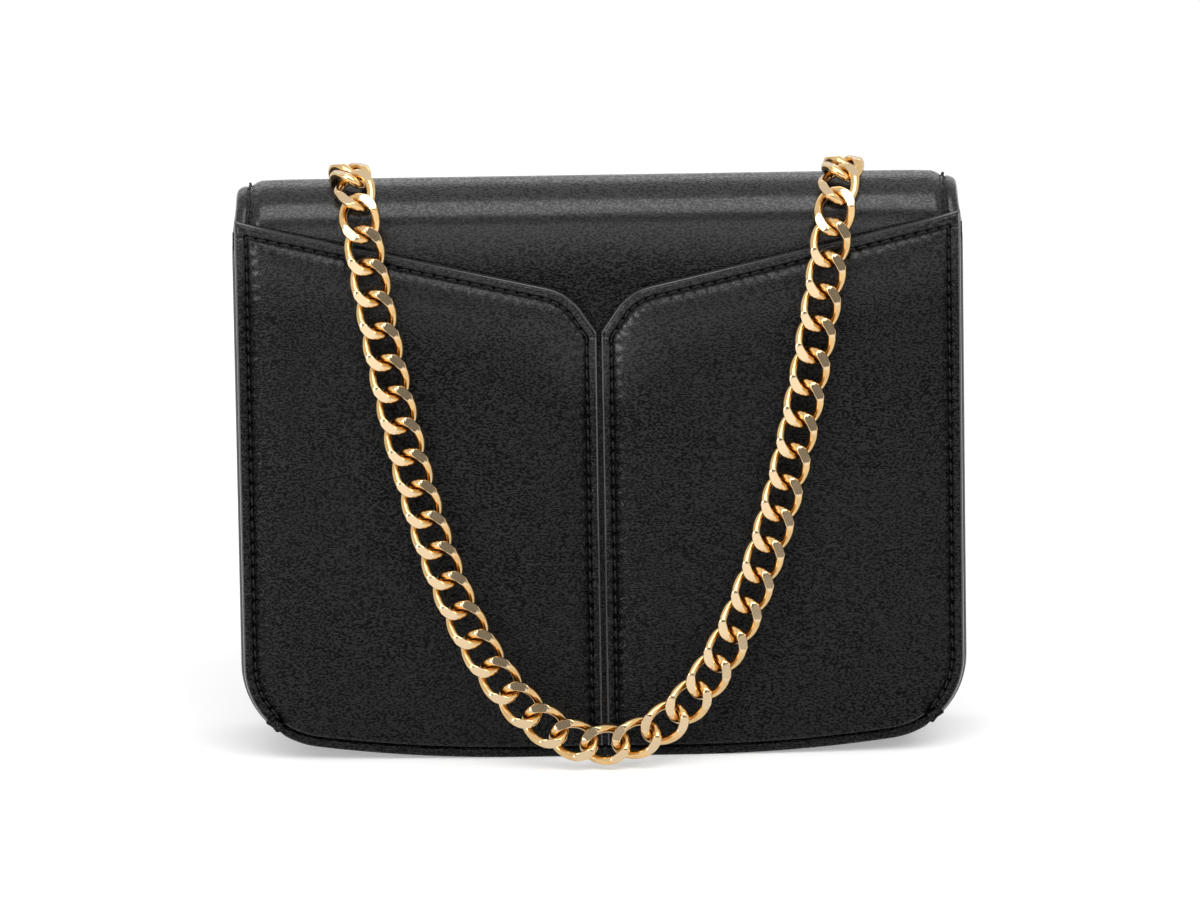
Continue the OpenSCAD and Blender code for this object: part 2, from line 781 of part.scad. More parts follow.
// One curb link about the origin, with its length along X and its flats at +Z and -Z
module curb_link(half_l) {
    last = link_rings - 1;
    polyhedron(
        points = [for (i = [0:last]) for (j = [0:link_sides - 1]) link_point(i, j, half_l)],
        faces = [
            for (i = [0:last]) for (j = [0:link_sides - 1]) for (half = [0, 1])
                let (a = i * link_sides + j, b = i * link_sides + (j + 1) % link_sides,
                    c = (i + 1) % link_rings * link_sides + j,
                    d = (i + 1) % link_rings * link_sides + (j + 1) % link_sides)
                half == 0 ? [a, b, d] : [a, d, c]
        ]
    );
}

// A link between two points of the chain, its flats square to the side view's path
module link_between(from, to) {
    along = unit(to - from);
    out = link_out(along);
    across = cross(out, along);
    middle = (from + to) / 2;
    multmatrix([
        [along[0], across[0], out[0], middle[0]],
        [along[1], across[1], out[1], middle[1]],
        [along[2], across[2], out[2], middle[2]]
    ]) curb_link(link_half_l);
}

function flip_x(p) = [-p[0], p[1], p[2]];

// Link n, counted from the lowest: the right side's links run up, the left side's run down
module chain_link(n, side) {
    placed()
        if (side > 0) link_between(chain_point(n - 1 / 2), chain_point(n + 1 / 2));
        else link_between(flip_x(chain_point(n + 1 / 2)), flip_x(chain_point(n - 1 / 2)));
}

// The short end link with the barrel that turns on the hinge pin
module chain_eye(side) {
    from = [0, last_point[1], last_point[2]];
    to = [0, pin_pos[0], pin_pos[1]];
    along = side * unit(to - from);
    out = unit(cross([1, 0, 0], along));
    across = cross(out, along);
    middle = from + side * (eye_half_l - link_reach) * along;
    placed() translate([side * chain_end_x, 0, 0]) difference() {
        union() {
            multmatrix([
                [along[0], across[0], out[0], middle[0]],
                [along[1], across[1], out[1], middle[1]],
                [along[2], across[2], out[2], middle[2]]
            ]) curb_link(eye_half_l);
            translate([-barrel_l / 2, to[1], to[2]]) rotate([0, 90, 0]) cylinder(r = barrel_r, h = barrel_l);
        }
        translate([-bracket_half_w, to[1], to[2]]) rotate([0, 90, 0])
            cylinder(r = pin_r + pin_gap, h = 2 * bracket_half_w);
    }
}

module chain_eye_left() {
    color(gold) chain_eye(-1);
}

module chain_eye_right() {
    color(gold) chain_eye(1);
}

module crest_link_left() {
    color(gold) chain_link(drop_count + 3, -1);
}

module crest_link_right() {
    color(gold) chain_link(drop_count + 3, 1);
}

module ridge_link_upper_left() {
    color(gold) chain_link(drop_count + 2, -1);
}

module ridge_link_upper_right() {
    color(gold) chain_link(drop_count + 2, 1);
}

module ridge_link_lower_left() {
    color(gold) chain_link(drop_count + 1, -1);
}

module ridge_link_lower_right() {
    color(gold) chain_link(drop_count + 1, 1);
}

module drop_links_left() {
    color(gold) for (n = [1:drop_count]) chain_link(n, -1);
}

module drop_links_right() {
    color(gold) for (n = [1:drop_count]) chain_link(n, 1);
}

module bottom_link() {
    color(gold) placed() link_between(flip_x(chain_point(1 / 2)), chain_point(1 / 2));
}

back_panel();
back_board();
top_board();
pocket_lining();
pocket_panel_left();
pocket_panel_right();
front_panel();
front_board();
gusset_left();
gusset_right();
bottom_panel();
base_board();
lining();
inner_pocket();
snap_socket();
snap_socket_washer();
flap_top_leather();
flap_top_lining();
flap_front_leather();
flap_front_board();
flap_front_lining();
snap_stud();
snap_stud_washer();
chain_bracket_left();
chain_bracket_right();
chain_backing_left();
chain_backing_right();
chain_rivets();
chain_pin_left();
chain_pin_right();
chain_eye_left();
chain_eye_right();
crest_link_left();
crest_link_right();
ridge_link_upper_left();
ridge_link_upper_right();
ridge_link_lower_left();
ridge_link_lower_right();
drop_links_left();
drop_links_right();
bottom_link();
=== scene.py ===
"""Studio picture of a black leather flap bag with a gold curb chain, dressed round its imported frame.

Shapes are worked out in bag millimetres: x across, y from the rear face towards the front, z up from
the floor. A flat pattern's second coordinate is the run up the rear face and on over the crest, the
top and the front ridge, down to the flap's lower edge.
"""

import json
import logging
import math
from collections.abc import Callable, Sequence
from dataclasses import dataclass, field, replace
from enum import Enum

import bpy
import numpy as np
from mathutils import Matrix, Vector

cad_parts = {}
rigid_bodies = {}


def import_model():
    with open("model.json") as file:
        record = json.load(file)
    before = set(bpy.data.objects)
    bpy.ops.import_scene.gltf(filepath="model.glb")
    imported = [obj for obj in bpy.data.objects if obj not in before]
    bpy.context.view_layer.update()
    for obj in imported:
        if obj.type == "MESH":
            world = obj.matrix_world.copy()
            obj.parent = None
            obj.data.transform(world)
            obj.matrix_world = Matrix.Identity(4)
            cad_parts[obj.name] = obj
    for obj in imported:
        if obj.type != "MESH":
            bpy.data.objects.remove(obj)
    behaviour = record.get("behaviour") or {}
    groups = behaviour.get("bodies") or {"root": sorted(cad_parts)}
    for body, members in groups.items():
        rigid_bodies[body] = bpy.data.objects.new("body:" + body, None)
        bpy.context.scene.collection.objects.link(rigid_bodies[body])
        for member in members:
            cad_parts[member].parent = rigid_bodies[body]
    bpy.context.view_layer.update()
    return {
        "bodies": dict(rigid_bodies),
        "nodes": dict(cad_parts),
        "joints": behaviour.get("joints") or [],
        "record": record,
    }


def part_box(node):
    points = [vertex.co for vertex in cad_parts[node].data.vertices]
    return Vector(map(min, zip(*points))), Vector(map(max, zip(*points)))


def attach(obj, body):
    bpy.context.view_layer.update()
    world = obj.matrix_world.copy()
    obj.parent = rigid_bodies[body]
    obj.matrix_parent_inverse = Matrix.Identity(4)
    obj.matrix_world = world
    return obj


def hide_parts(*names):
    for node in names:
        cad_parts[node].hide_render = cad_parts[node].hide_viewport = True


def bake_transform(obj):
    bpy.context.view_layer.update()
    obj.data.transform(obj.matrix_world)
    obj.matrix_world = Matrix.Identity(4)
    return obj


Array = np.ndarray
Material = bpy.types.Material
Colour = tuple[float, float, float]
Span = tuple[float, float]
MM = 0.001
FLIP = np.array([-1.0, 1.0])
LOG = logging.getLogger("bag")


class Side(Enum):
    """The two sides of the bag, as seen from behind it."""

    LEFT = -1
    RIGHT = 1

    @property
    def word(self) -> str:
        """The side's name as the frame's nodes have it."""
        return self.name.lower()

    @property
    def flip(self) -> Array:
        """Factors that carry a point of the right side to this one."""
        return np.array([self.value, 1.0, 1.0])


class Surface(Enum):
    """Which of a sheet's materials a face takes."""

    OUTER = 0
    INNER = 1
    EDGE = 2


# Plane geometry


def arc(centre: Sequence[float], radius: float, start: float, end: float, steps: int = 24) -> Array:
    """Points of an arc: centre + radius * (cos a, sin a), with a running evenly from start to end.

    Args:
        centre: The arc's centre.
        radius: Its radius.
        start: Angle of the first point, in degrees.
        end: Angle of the last point, in degrees.
        steps: Number of stretches.

    Returns:
        Points as (steps + 1, 2).
    """
    angle = np.radians(np.linspace(start, end, steps + 1))
    return np.asarray(centre, float) + radius * np.stack([np.cos(angle), np.sin(angle)], 1)


def runs(line: Array) -> Array:
    """Length run along a polyline up to each of its points."""
    return np.concatenate([[0.0], np.cumsum(np.linalg.norm(np.diff(line, axis=0), axis=1))])


def along(line: Array, shares: Array) -> Array:
    """Points of a polyline at shares of its length."""
    run = runs(line)
    return np.stack([np.interp(shares * run[-1], run, line[:, k]) for k in range(line.shape[1])], 1)


def stations(length: float, fine: float, coarse: float, reach: float) -> Array:
    """Shares of a length that lie close together near both ends and wide apart between them.

    The step is fine up to reach from an end, grows to coarse over as far again, and the shares are
    equal counts of the summed 1 / step.

    Args:
        length: Length to divide.
        fine: Step near the ends.
        coarse: Step in the middle.
        reach: How far from an end the fine step holds.

    Returns:
        Shares from 0 to 1.
    """
    place = np.linspace(0.0, length, 4001)
    gap = np.minimum(place, length - place)
    step = fine + (coarse - fine) * np.clip(gap / reach - 1.0, 0.0, 1.0)
    count = np.concatenate([[0.0], np.cumsum(np.diff(place) / ((step[1:] + step[:-1]) / 2))])
    number = max(2, int(round(count[-1])))
    return np.interp(np.linspace(0.0, count[-1], number + 1), count, place) / length


def patch(low: Array, high: Array, left: Array, right: Array, across: Array, up: Array) -> Array:
    """Grid between four edge lines that meet at their corners.

    P(u, v) = (1 - v) low(u) + v high(u) + (1 - u) left(v) + u right(v) - the same blend of corners.

    Args:
        low: Lower edge, from left to right.
        high: Upper edge, from left to right.
        left: Left edge, upwards.
        right: Right edge, upwards.
        across: Shares u of the columns.
        up: Shares v of the rows.

    Returns:
        Points as (rows, columns, 2).
    """
    u, v = across[None, :, None], up[:, None, None]
    ends = (1 - v) * along(low, across)[None] + v * along(high, across)[None]
    sides = (1 - u) * along(left, up)[:, None] + u * along(right, up)[:, None]
    corners = (1 - v) * ((1 - u) * low[0] + u * low[-1]) + v * ((1 - u) * high[0] + u * high[-1])
    return ends + sides - corners


def nearest(points: Array, line: Array) -> tuple[Array, Array]:
    """Distance from points to a polyline, and the run along it where it is nearest.

    Args:
        points: Points as (n, 2).
        line: Polyline as (m, 2).

    Returns:
        Distances and runs, each (n,).
    """
    start, step = line[:-1], np.diff(line, axis=0)
    square = np.maximum((step**2).sum(1), 1e-12)
    off = points[:, None, :] - start[None]
    share = np.clip((off * step[None]).sum(2) / square, 0.0, 1.0)
    gap = np.linalg.norm(off - share[..., None] * step[None], axis=2)
    best = gap.argmin(1)
    row = np.arange(len(points))
    return gap[row, best], runs(line)[best] + share[row, best] * np.sqrt(square[best])


def normed(ways: Array) -> Array:
    """Directions made one unit long."""
    return ways / np.linalg.norm(ways, axis=-1, keepdims=True)


def leftward(step: Array) -> Array:
    """Unit normals to the left of steps."""
    step = normed(step)
    return np.stack([-step[..., 1], step[..., 0]], -1)


def bearing(way: Array) -> float:
    """Angle of a direction, in degrees."""
    return math.degrees(math.atan2(way[1], way[0]))


def ease(value: Array, low: float, high: float) -> Array:
    """Smooth step from 0 at low to 1 at high: 3 t^2 - 2 t^3."""
    share = np.clip((value - low) / (high - low), 0.0, 1.0)
    return share * share * (3 - 2 * share)


def ease_about(value: Array, place: float, span: Span) -> Array:
    """Smooth step from 0 to 1 over a span that is counted from a place."""
    return ease(value, place + span[0], place + span[1])


def grid(*parts: Array | float) -> Array:
    """Points whose coordinates are broadcast against each other."""
    return np.stack(np.broadcast_arrays(*parts), -1)


# Meshes


@dataclass
class Solid:
    """A closed mesh in bag millimetres: points, groups of faces with their surface, and point marks."""

    points: Array
    faces: list[Array]
    surfaces: list[Surface]
    marks: dict[str, Array] = field(default_factory=dict)

    def volume(self) -> float:
        """Signed volume: the sum of a . (b x c) / 6 over fans of the faces."""
        total = 0.0
        for group in self.faces:
            a = self.points[group[:, 0]]
            for k in range(1, group.shape[1] - 1):
                b, c = self.points[group[:, k]], self.points[group[:, k + 1]]
                total += float((a * np.cross(b, c)).sum()) / 6
        return total

    def outward(self) -> "Solid":
        """The same solid with its faces looking out."""
        if self.volume() < 0:
            self.faces = [group[:, ::-1] for group in self.faces]
        return self


def joined(solids: Sequence[Solid]) -> Solid:
    """One solid that holds several, with the marks of the first kept for all."""
    starts = np.cumsum([0] + [len(s.points) for s in solids])
    return Solid(
        np.concatenate([s.points for s in solids]),
        [group + start for s, start in zip(solids, starts) for group in s.faces],
        [surface for s in solids for surface in s.surfaces],
        {k: np.concatenate([s.marks[k] for s in solids]) for k in solids[0].marks},
    )


def grid_faces(rows: int, columns: int, ring_rows: bool = False, ring_columns: bool = False) -> Array:
    """Quads of a grid of points, which may close on itself along its rows or its columns.

    Args:
        rows: Number of rows of points.
        columns: Number of points in a row.
        ring_rows: Whether the last row joins the first.
        ring_columns: Whether the last column joins the first.

    Returns:
        Faces as (n, 4) of point indexes.
    """
    i = np.arange(rows if ring_rows else rows - 1)[:, None]
    j = np.arange(columns if ring_columns else columns - 1)[None]
    i2, j2 = (i + 1) % rows, (j + 1) % columns
    quads = [i * columns + j, i * columns + j2, i2 * columns + j2, i2 * columns + j]
    return np.stack([q.ravel() for q in quads], 1)


def sheet_solid(outer: Array, inner: Array, marks: dict[str, Array] | None = None) -> Solid:
    """Closed sheet between two grids of points, with a strip of faces round its rim.

    Args:
        outer: Points of the outer face, (rows, columns, 3).
        inner: Points of the inner face, the same shape.
        marks: Values at the outer face's points, which the inner face repeats.

    Returns:
        The solid.
    """
    rows, columns = outer.shape[:2]
    number = rows * columns
    index = np.arange(number).reshape(rows, columns)
    rim = np.concatenate([index[0, :-1], index[:-1, -1], index[-1, :0:-1], index[:0:-1, 0]])
    ahead = np.roll(rim, -1)
    face = grid_faces(rows, columns)
    strip = np.stack([ahead, rim, rim + number, ahead + number], 1)
    values = {k: np.tile(v.ravel(), 2) for k, v in (marks or {}).items()}
    points = np.concatenate([outer.reshape(-1, 3), inner.reshape(-1, 3)])
    groups = [face, face[:, ::-1] + number, strip]
    return Solid(points, groups, [Surface.OUTER, Surface.INNER, Surface.EDGE], values).outward()


def tube_solid(rings: Array, closed: bool, marks: dict[str, Array] | None = None) -> Solid:
    """Tube through rings of points, closed on itself or with a face over each end.

    Args:
        rings: Points as (rings, points in a ring, 3).
        closed: Whether the last ring joins the first.
        marks: Values at the points.

    Returns:
        The solid.
    """
    count, sides = rings.shape[:2]
    faces = [grid_faces(count, sides, ring_rows=closed, ring_columns=True)]
    surfaces = [Surface.OUTER]
    if not closed:
        cap = np.arange(sides)[None]
        faces += [cap[:, ::-1], cap + (count - 1) * sides]
        surfaces += [Surface.OUTER, Surface.OUTER]
    values = {k: v.ravel() for k, v in (marks or {}).items()}
    return Solid(rings.reshape(-1, 3), faces, surfaces, values).outward()


def lathe(profile: Array, sides: int = 32) -> Array:
    """Rings of a turned shape about z: (r cos a, r sin a, z) for each point (r, z) of the profile."""
    angle = np.linspace(0.0, 2 * math.pi, sides, endpoint=False)
    radius, height = profile[:, :1], profile[:, 1:]
    return grid(radius * np.cos(angle), radius * np.sin(angle), height)


# The bag's own lines


@dataclass(frozen=True)
class BagForm:
    """The driving sizes of the bag, and the side and front views that follow from them."""

    half_width: float = 105.0
    height: float = 168.0
    depth: float = 56.0
    crest_radius: float = 12.5
    crest_turn: float = 14.0
    top_radius: float = 140.0
    ridge_radius: float = 14.0
    corner_radius: float = 25.0
    base_radius: float = 430.0
    base_half_flat: float = 25.0
    corner_cut: float = -45.0
    band_height: float = 3.2
    band_reach: float = 95.0
    cut_gap: float = 0.1
    leather: float = 1.6
    board: float = 1.2
    seam: float = 4.2
    flap_thickness: float = 3.0
    flap_gap: float = 1.0
    flap_low: float = 50.0
    flap_inset: float = 0.8
    flap_corner: float = 24.0
    hinge_depth: float = 27.5
    fold_angle: float = 45.0

    @property
    def flap_face(self) -> float:
        """Depth of the flap's outer face."""
        return self.depth + self.flap_gap + self.flap_thickness

    @property
    def crest_centre(self) -> Array:
        """Centre of the crest's round, as (y, z)."""
        return np.array([self.crest_radius, self.height - self.crest_radius])

    @property
    def top_centre(self) -> Array:
        """Centre of the long curve, which meets the crest's round in one tangent."""
        end = math.radians(90 - self.crest_turn)
        reach = self.crest_radius - self.top_radius
        return self.crest_centre + reach * np.array([math.cos(end), math.sin(end)])

    @property
    def ridge_centre(self) -> Array:
        """Centre of the front ridge, tangent to the long curve and to the flap's face."""
        y = self.flap_face - self.ridge_radius
        reach = self.top_radius - self.ridge_radius
        z = self.top_centre[1] + math.sqrt(reach**2 - (y - self.top_centre[0]) ** 2)
        return np.array([y, z])

    @property
    def ridge_start(self) -> float:
        """Angle at which the long curve passes into the ridge, in degrees."""
        return bearing(self.ridge_centre - self.top_centre)

    @property
    def rounds(self) -> list[tuple[Array, float, float, float]]:
        """The side view's three arcs, as (centre, radius, first angle, last angle)."""
        return [
            (self.crest_centre, self.crest_radius, 180.0, 90 - self.crest_turn),
            (self.top_centre, self.top_radius, 90 - self.crest_turn, self.ridge_start),
            (self.ridge_centre, self.ridge_radius, self.ridge_start, 0.0),
        ]

    def run_at(self, number: int, angle: float) -> float:
        """Run of the side view at an angle on one of its arcs.

        Args:
            number: Which arc, from 0 at the crest to 2 at the ridge.
            angle: Angle on it, in degrees.

        Returns:
            The run from the floor, up the rear face.
        """
        run = float(self.crest_centre[1])
        for _, radius, first, last in self.rounds[:number]:
            run += radius * math.radians(first - last)
        _, radius, first, _ = self.rounds[number]
        return run + radius * math.radians(first - angle)

    @property
    def hinge_run(self) -> float:
        """Run at the flap's hinge line."""
        share = (self.hinge_depth - self.top_centre[0]) / self.top_radius
        return self.run_at(1, math.degrees(math.acos(share)))

    @property
    def fold_run(self) -> float:
        """Run at the fold line on the ridge."""
        return self.run_at(2, self.fold_angle)

    @property
    def join_run(self) -> float:
        """Run at which the crest's leather passes into the flap's."""
        return (self.hinge_run + self.fold_run) / 2

    @property
    def front_run(self) -> float:
        """Run at which the ridge ends and the flap hangs straight down."""
        return self.run_at(2, 0.0)

    def side_view(self, run: Array) -> tuple[Array, Array]:
        """Points and outward normals of the side view at runs from the floor up the rear face.

        A run lies on the rear line (0, run), on an arc centre + radius (cos a, sin a), with a falling
        by run / radius, or on the front line (flap face, ridge centre's height - rest of the run).

        Args:
            run: Runs, in any shape.

        Returns:
            Points (y, z) and normals (y, z), each with one more axis.
        """
        shape = np.shape(run)
        point = np.stack([np.zeros(shape), run], -1)
        normal = np.stack([-np.ones(shape), np.zeros(shape)], -1)
        start = self.crest_centre[1]
        for centre, radius, first, last in self.rounds:
            angle = np.radians(first) - (run - start) / radius
            way = np.stack([np.cos(angle), np.sin(angle)], -1)
            there = (run >= start)[..., None]
            point = np.where(there, centre + radius * way, point)
            normal = np.where(there, way, normal)
            start += radius * math.radians(first - last)
        there = (run >= start)[..., None]
        down = np.stack([np.full(shape, self.flap_face), self.ridge_centre[1] - (run - start)], -1)
        point = np.where(there, down, point)
        normal = np.where(there, np.array([1.0, 0.0]), normal)
        return point, normal

    def wrapped(self, flat: Array, lift: Array) -> Array:
        """A flat pattern laid round the side view: (x, side view's point + lift * its normal).

        Args:
            flat: Pattern points (x, run).
            lift: Height of each above the side view's line.

        Returns:
            Points (x, y, z).
        """
        point, normal = self.side_view(flat[..., 1])
        place = point + np.asarray(lift)[..., None] * normal
        return np.concatenate([flat[..., :1], place], -1)

    @property
    def base_centre(self) -> Array:
        """Centre of the base's long rise, as (x, z)."""
        return np.array([self.base_half_flat, self.base_radius])

    @property
    def corner_centre(self) -> Array:
        """Centre of the right lower corner's round, tangent to the rise and to the side."""
        x = self.half_width - self.corner_radius
        reach = self.base_radius - self.corner_radius
        z = self.base_radius - math.sqrt(reach**2 - (x - self.base_half_flat) ** 2)
        return np.array([x, z])

    @property
    def corner_start(self) -> float:
        """Angle at which the base's rise passes into the corner's round, in degrees."""
        return bearing(self.corner_centre - self.base_centre)

    def half_base(self, inset: float, last: float) -> Array:
        """Right half of the base's outline, moved inwards, up to an angle on the corner's round.

        Args:
            inset: How far inwards it is moved.
            last: Angle of its last point on the corner's round, in degrees.

        Returns:
            Points (x, z) from the middle outwards.
        """
        rise = arc(self.base_centre, self.base_radius - inset, -90, self.corner_start, 40)
        bend = arc(self.corner_centre, self.corner_radius - inset, self.corner_start, last)
        return np.concatenate([[[0.0, inset]], rise, bend[1:]])

    def right_side(self, inset: float, top: float) -> Array:
        """Right side from the corner's cut up to a height, moved inwards."""
        bend = arc(self.corner_centre, self.corner_radius - inset, self.corner_cut, 0)
        return np.concatenate([bend, [[self.half_width - inset, top]]])

    def panel_base(self, side_inset: float) -> Array:
        """Lower edge of a panel's right half, above the base band, and out along the corner's cut."""
        base = self.half_base(self.band_height + self.cut_gap, self.corner_cut)
        return np.concatenate([base, self.right_side(side_inset, self.height)[:1]])


def mirrored(line: Array) -> Array:
    """A line of the right half carried on from the left one: its mirror image, then itself."""
    return np.concatenate([line[:0:-1] * FLIP, line])


def rung(right: Array, end: int) -> Array:
    """Straight line across the pattern to a right edge's first (0) or last (-1) point."""
    return np.stack([right[end] * FLIP, right[end]])


def even(thickness: float) -> Callable[[Array], Array]:
    """A thickness that is the same all over a pattern."""
    return lambda flat: np.full(flat.shape[:-1], thickness)


# Sewn panels


@dataclass(frozen=True)
class Finish:
    """How an edge of a panel is finished, from its cut edge inwards.

    A painted roll is bead wide, a crease divides it from the margin, the stitches sink in a groove at
    margin, and the padding rises inside them over swell. roll is the radius of the edge itself.
    """

    margin: float = 0.0
    bead: float = 0.0
    bead_rise: float = 0.12
    crease: float = 0.14
    crease_width: float = 0.3
    groove: float = 0.45
    groove_width: float = 0.6
    swell: float = 2.2
    roll: float = 0.7


PLAIN = Finish(swell=0.0, roll=0.0)
FAR = 50.0
# Sign of the left-hand normal that looks inwards, for the low, high, left and right edges
INWARD = (1.0, -1.0, -1.0, 1.0)


@dataclass
class Panel:
    """A sheet of leather between four edges of a flat pattern, with sewn and padded relief."""

    low: Array
    high: Array
    left: Array
    right: Array
    finishes: tuple[Finish, Finish, Finish, Finish]
    lay: Callable[[Array, Array], Array]
    thickness: Callable[[Array], Array]
    swell: float = 0.0
    crown: float = 0.0
    fine: float = 0.32
    coarse: float = 2.0
    reach: float = 7.0
    spread: float = 13.0
    extra: Callable[[Array], Array] | None = None
    sink: Callable[[Array], Array] | None = None
    polish: Callable[[Array], Array] | None = None
    stitch_pitch: float = 3.4
    scallop: float = 0.7

    def stitch_count(self, line: Array) -> int:
        """How many stitches run along an edge."""
        return int(runs(line)[-1] / self.stitch_pitch)

    @property
    def edges(self) -> list[tuple[Array, Finish]]:
        """The four edge lines with their finishes."""
        return list(zip((self.low, self.high, self.left, self.right), self.finishes))

    def relief(self, flat: Array) -> tuple[Array, dict[str, Array]]:
        """Height of the surface above its base, and the marks that the leather's material reads.

        The padding is swell * product over the edges of 1 - exp(-(gap - margin) / edge swell), and
        the crown the same with one wide spread. extra lifts the outer face alone, sink both. Each
        stitched edge adds a bead, rise * sin(pi gap / bead), and sinks a crease and a groove, both
        -depth * exp(-((gap - place) / width)^2), which fade where another such edge is near. A rolled
        edge falls by r - sqrt(r^2 - (r - gap)^2). A mark without an edge near it reads FAR.

        Args:
            flat: Pattern points as (n, 2).

        Returns:
            Heights (n,) and marks: the gap to the nearest edge and to the nearest stitch line, the run
            along that line counted in stitches, and the polish.
        """
        gaps = []
        height, seam_run = np.zeros((2, len(flat)))
        lifts, hill = np.ones((2, len(flat)))
        edge_gap, seam_gap = np.full((2, len(flat)), FAR)
        for line, finish in self.edges:
            gap, run = nearest(flat, line)
            run = run * self.stitch_count(line) / runs(line)[-1]
            gaps.append((gap, run, finish))
            if finish.swell > 0:
                pull = self.scallop * (0.5 + 0.5 * np.cos(2 * math.pi * run)) ** 2
                inside = np.maximum(gap - finish.margin - pull * (finish.margin > 0), 0.0)
                lifts *= 1 - np.exp(-inside / finish.swell)
                hill *= 1 - np.exp(-inside / self.spread)
            if finish.roll > 0:
                short = np.maximum(finish.roll - gap, 0.0)
                height -= finish.roll - np.sqrt(np.maximum(finish.roll**2 - short**2, 0.0))
                edge_gap = np.minimum(edge_gap, gap)
        for number, (gap, run, finish) in enumerate(gaps):
            others = [(other, kind) for k, (other, _, kind) in enumerate(gaps) if k != number]
            if finish.bead > 0:
                beads = [(other, kind.bead) for other, kind in others if kind.bead > 0]
                clear = math.prod(ease(other, bead * 0.6, bead * 1.4) for other, bead in beads)
                hump = np.sin(math.pi * np.clip(gap / finish.bead, 0, 1)) * finish.bead_rise
                away = (gap - finish.bead) / finish.crease_width
                height += hump - clear * finish.crease * np.exp(-(away**2))
            if finish.margin > 0:
                seams = [(other, kind.margin) for other, kind in others if kind.margin > 0]
                clear = math.prod(ease(other, margin - 1.0, margin) for other, margin in seams)
                away = gap - finish.margin
                height -= clear * finish.groove * np.exp(-((away / finish.groove_width) ** 2))
                closer = (np.abs(away) < np.abs(seam_gap)) & (clear > 0.5)
                seam_gap = np.where(closer, away, seam_gap)
                seam_run = np.where(closer, run, seam_run)
        height += self.swell * lifts + self.crown * hill
        if self.extra is not None:
            height += self.extra(flat)
        if self.sink is not None:
            height -= self.sink(flat)
        polish = np.zeros(len(flat)) if self.polish is None else self.polish(flat)
        marks = {"edge_gap": edge_gap, "seam_gap": seam_gap, "seam_run": seam_run, "polish": polish}
        return height, marks

    def solid(self) -> Solid:
        """The panel as a closed sheet."""
        across = stations(runs(self.high)[-1], self.fine, self.coarse, self.reach)
        up = stations(runs(self.right)[-1], self.fine, self.coarse, self.reach)
        flat = patch(self.low, self.high, self.left, self.right, across, up)
        shape = flat.shape[:2]
        height, marks = self.relief(flat.reshape(-1, 2))
        outer = self.lay(flat, height.reshape(shape))
        sunk = 0.0 if self.sink is None else self.sink(flat)
        inner = self.lay(flat, -self.thickness(flat) - sunk)
        return sheet_solid(outer, inner, {k: v.reshape(shape) for k, v in marks.items()})

    def stitch_frames(self) -> list[tuple[Array, Array, Array]]:
        """Middle, direction and normal of every stitch, in bag millimetres.

        Stitches that would lie outside the padding at another edge are left out.
        """
        found = []
        for number, (line, finish) in enumerate(self.edges):
            if finish.margin <= 0:
                continue
            count = self.stitch_count(line)
            shares = (np.arange(count) + 0.5) / count
            step = along(line, np.minimum(shares + 1e-3, 1)) - along(line, np.maximum(shares - 1e-3, 0))
            place = along(line, shares) + leftward(step) * INWARD[number] * finish.margin
            keep = np.ones(len(place), bool)
            for other, (line2, finish2) in enumerate(self.edges):
                gap, _ = nearest(place, line2)
                if other == number:
                    limit = finish.margin - 0.4
                elif finish2.margin > 0:
                    limit = finish2.margin - 0.3
                else:
                    limit = 1.2 * (finish2.roll > 0)
                keep &= gap > limit
            place, step = place[keep], normed(step[keep])
            if len(place) == 0:
                continue
            height, _ = self.relief(place)
            here = self.lay(place, height)
            ahead = normed(self.lay(place + step * 0.05, height) - here)
            up = self.lay(place, height + 1.0) - here
            found.append((here, ahead, up))
        return found


@dataclass(frozen=True)
class Stitches:
    """Thread that dips into the leather at both ends of every stitch."""

    length: float = 2.75
    radius: float = 0.3
    rise: float = 0.12
    slant: float = 7.0
    rings: int = 7
    sides: int = 6

    def solid(self, panels: Sequence[Panel]) -> Solid:
        """All stitches of some panels as one solid.

        A stitch's middle line is (L t / 2, 0, rise - dip t^4) and its radius r sqrt(1 - 0.8 t^6), with
        t from -1 to 1, and it is turned by a small slant about the leather's normal.

        Args:
            panels: The panels that are sewn.

        Returns:
            The solid.
        """
        t = np.linspace(-1, 1, self.rings)[:, None]
        angle = np.linspace(0, 2 * math.pi, self.sides, endpoint=False)
        size = self.radius * np.sqrt(1 - 0.8 * t**6)
        drop = self.rise - (self.rise + self.radius) * t**4
        ring = grid(self.length / 2 * t, size * np.cos(angle), drop + size * np.sin(angle))
        unit = tube_solid(ring, closed=False)
        here, ahead, up = (
            np.concatenate([f[k] for p in panels for f in p.stitch_frames()]) for k in range(3)
        )
        beside = np.cross(up, ahead)
        turn = math.radians(self.slant)
        first = ahead * math.cos(turn) + beside * math.sin(turn)
        second = np.cross(up, first)
        x, y, z = (unit.points[None, :, k : k + 1] for k in range(3))
        place = here[:, None] + x * first[:, None] + y * second[:, None] + z * up[:, None]
        number = len(unit.points)
        starts = np.arange(len(here))[:, None, None] * number
        faces = [(group[None] + starts).reshape(-1, group.shape[1]) for group in unit.faces]
        return Solid(place.reshape(-1, 3), faces, list(unit.surfaces)).outward()


# Shader nodes


def sums(operation: str, swapped: bool = False) -> Callable[["Socket", "Socket | float"], "Socket"]:
    """An operator of Socket that adds a Math node, on its two values as they stand or swapped."""

    def operator(socket: "Socket", other: "Socket | float") -> "Socket":
        """The Math node's result."""
        pair = (other, socket) if swapped else (socket, other)
        return socket.paint.math(operation, *pair)

    return operator


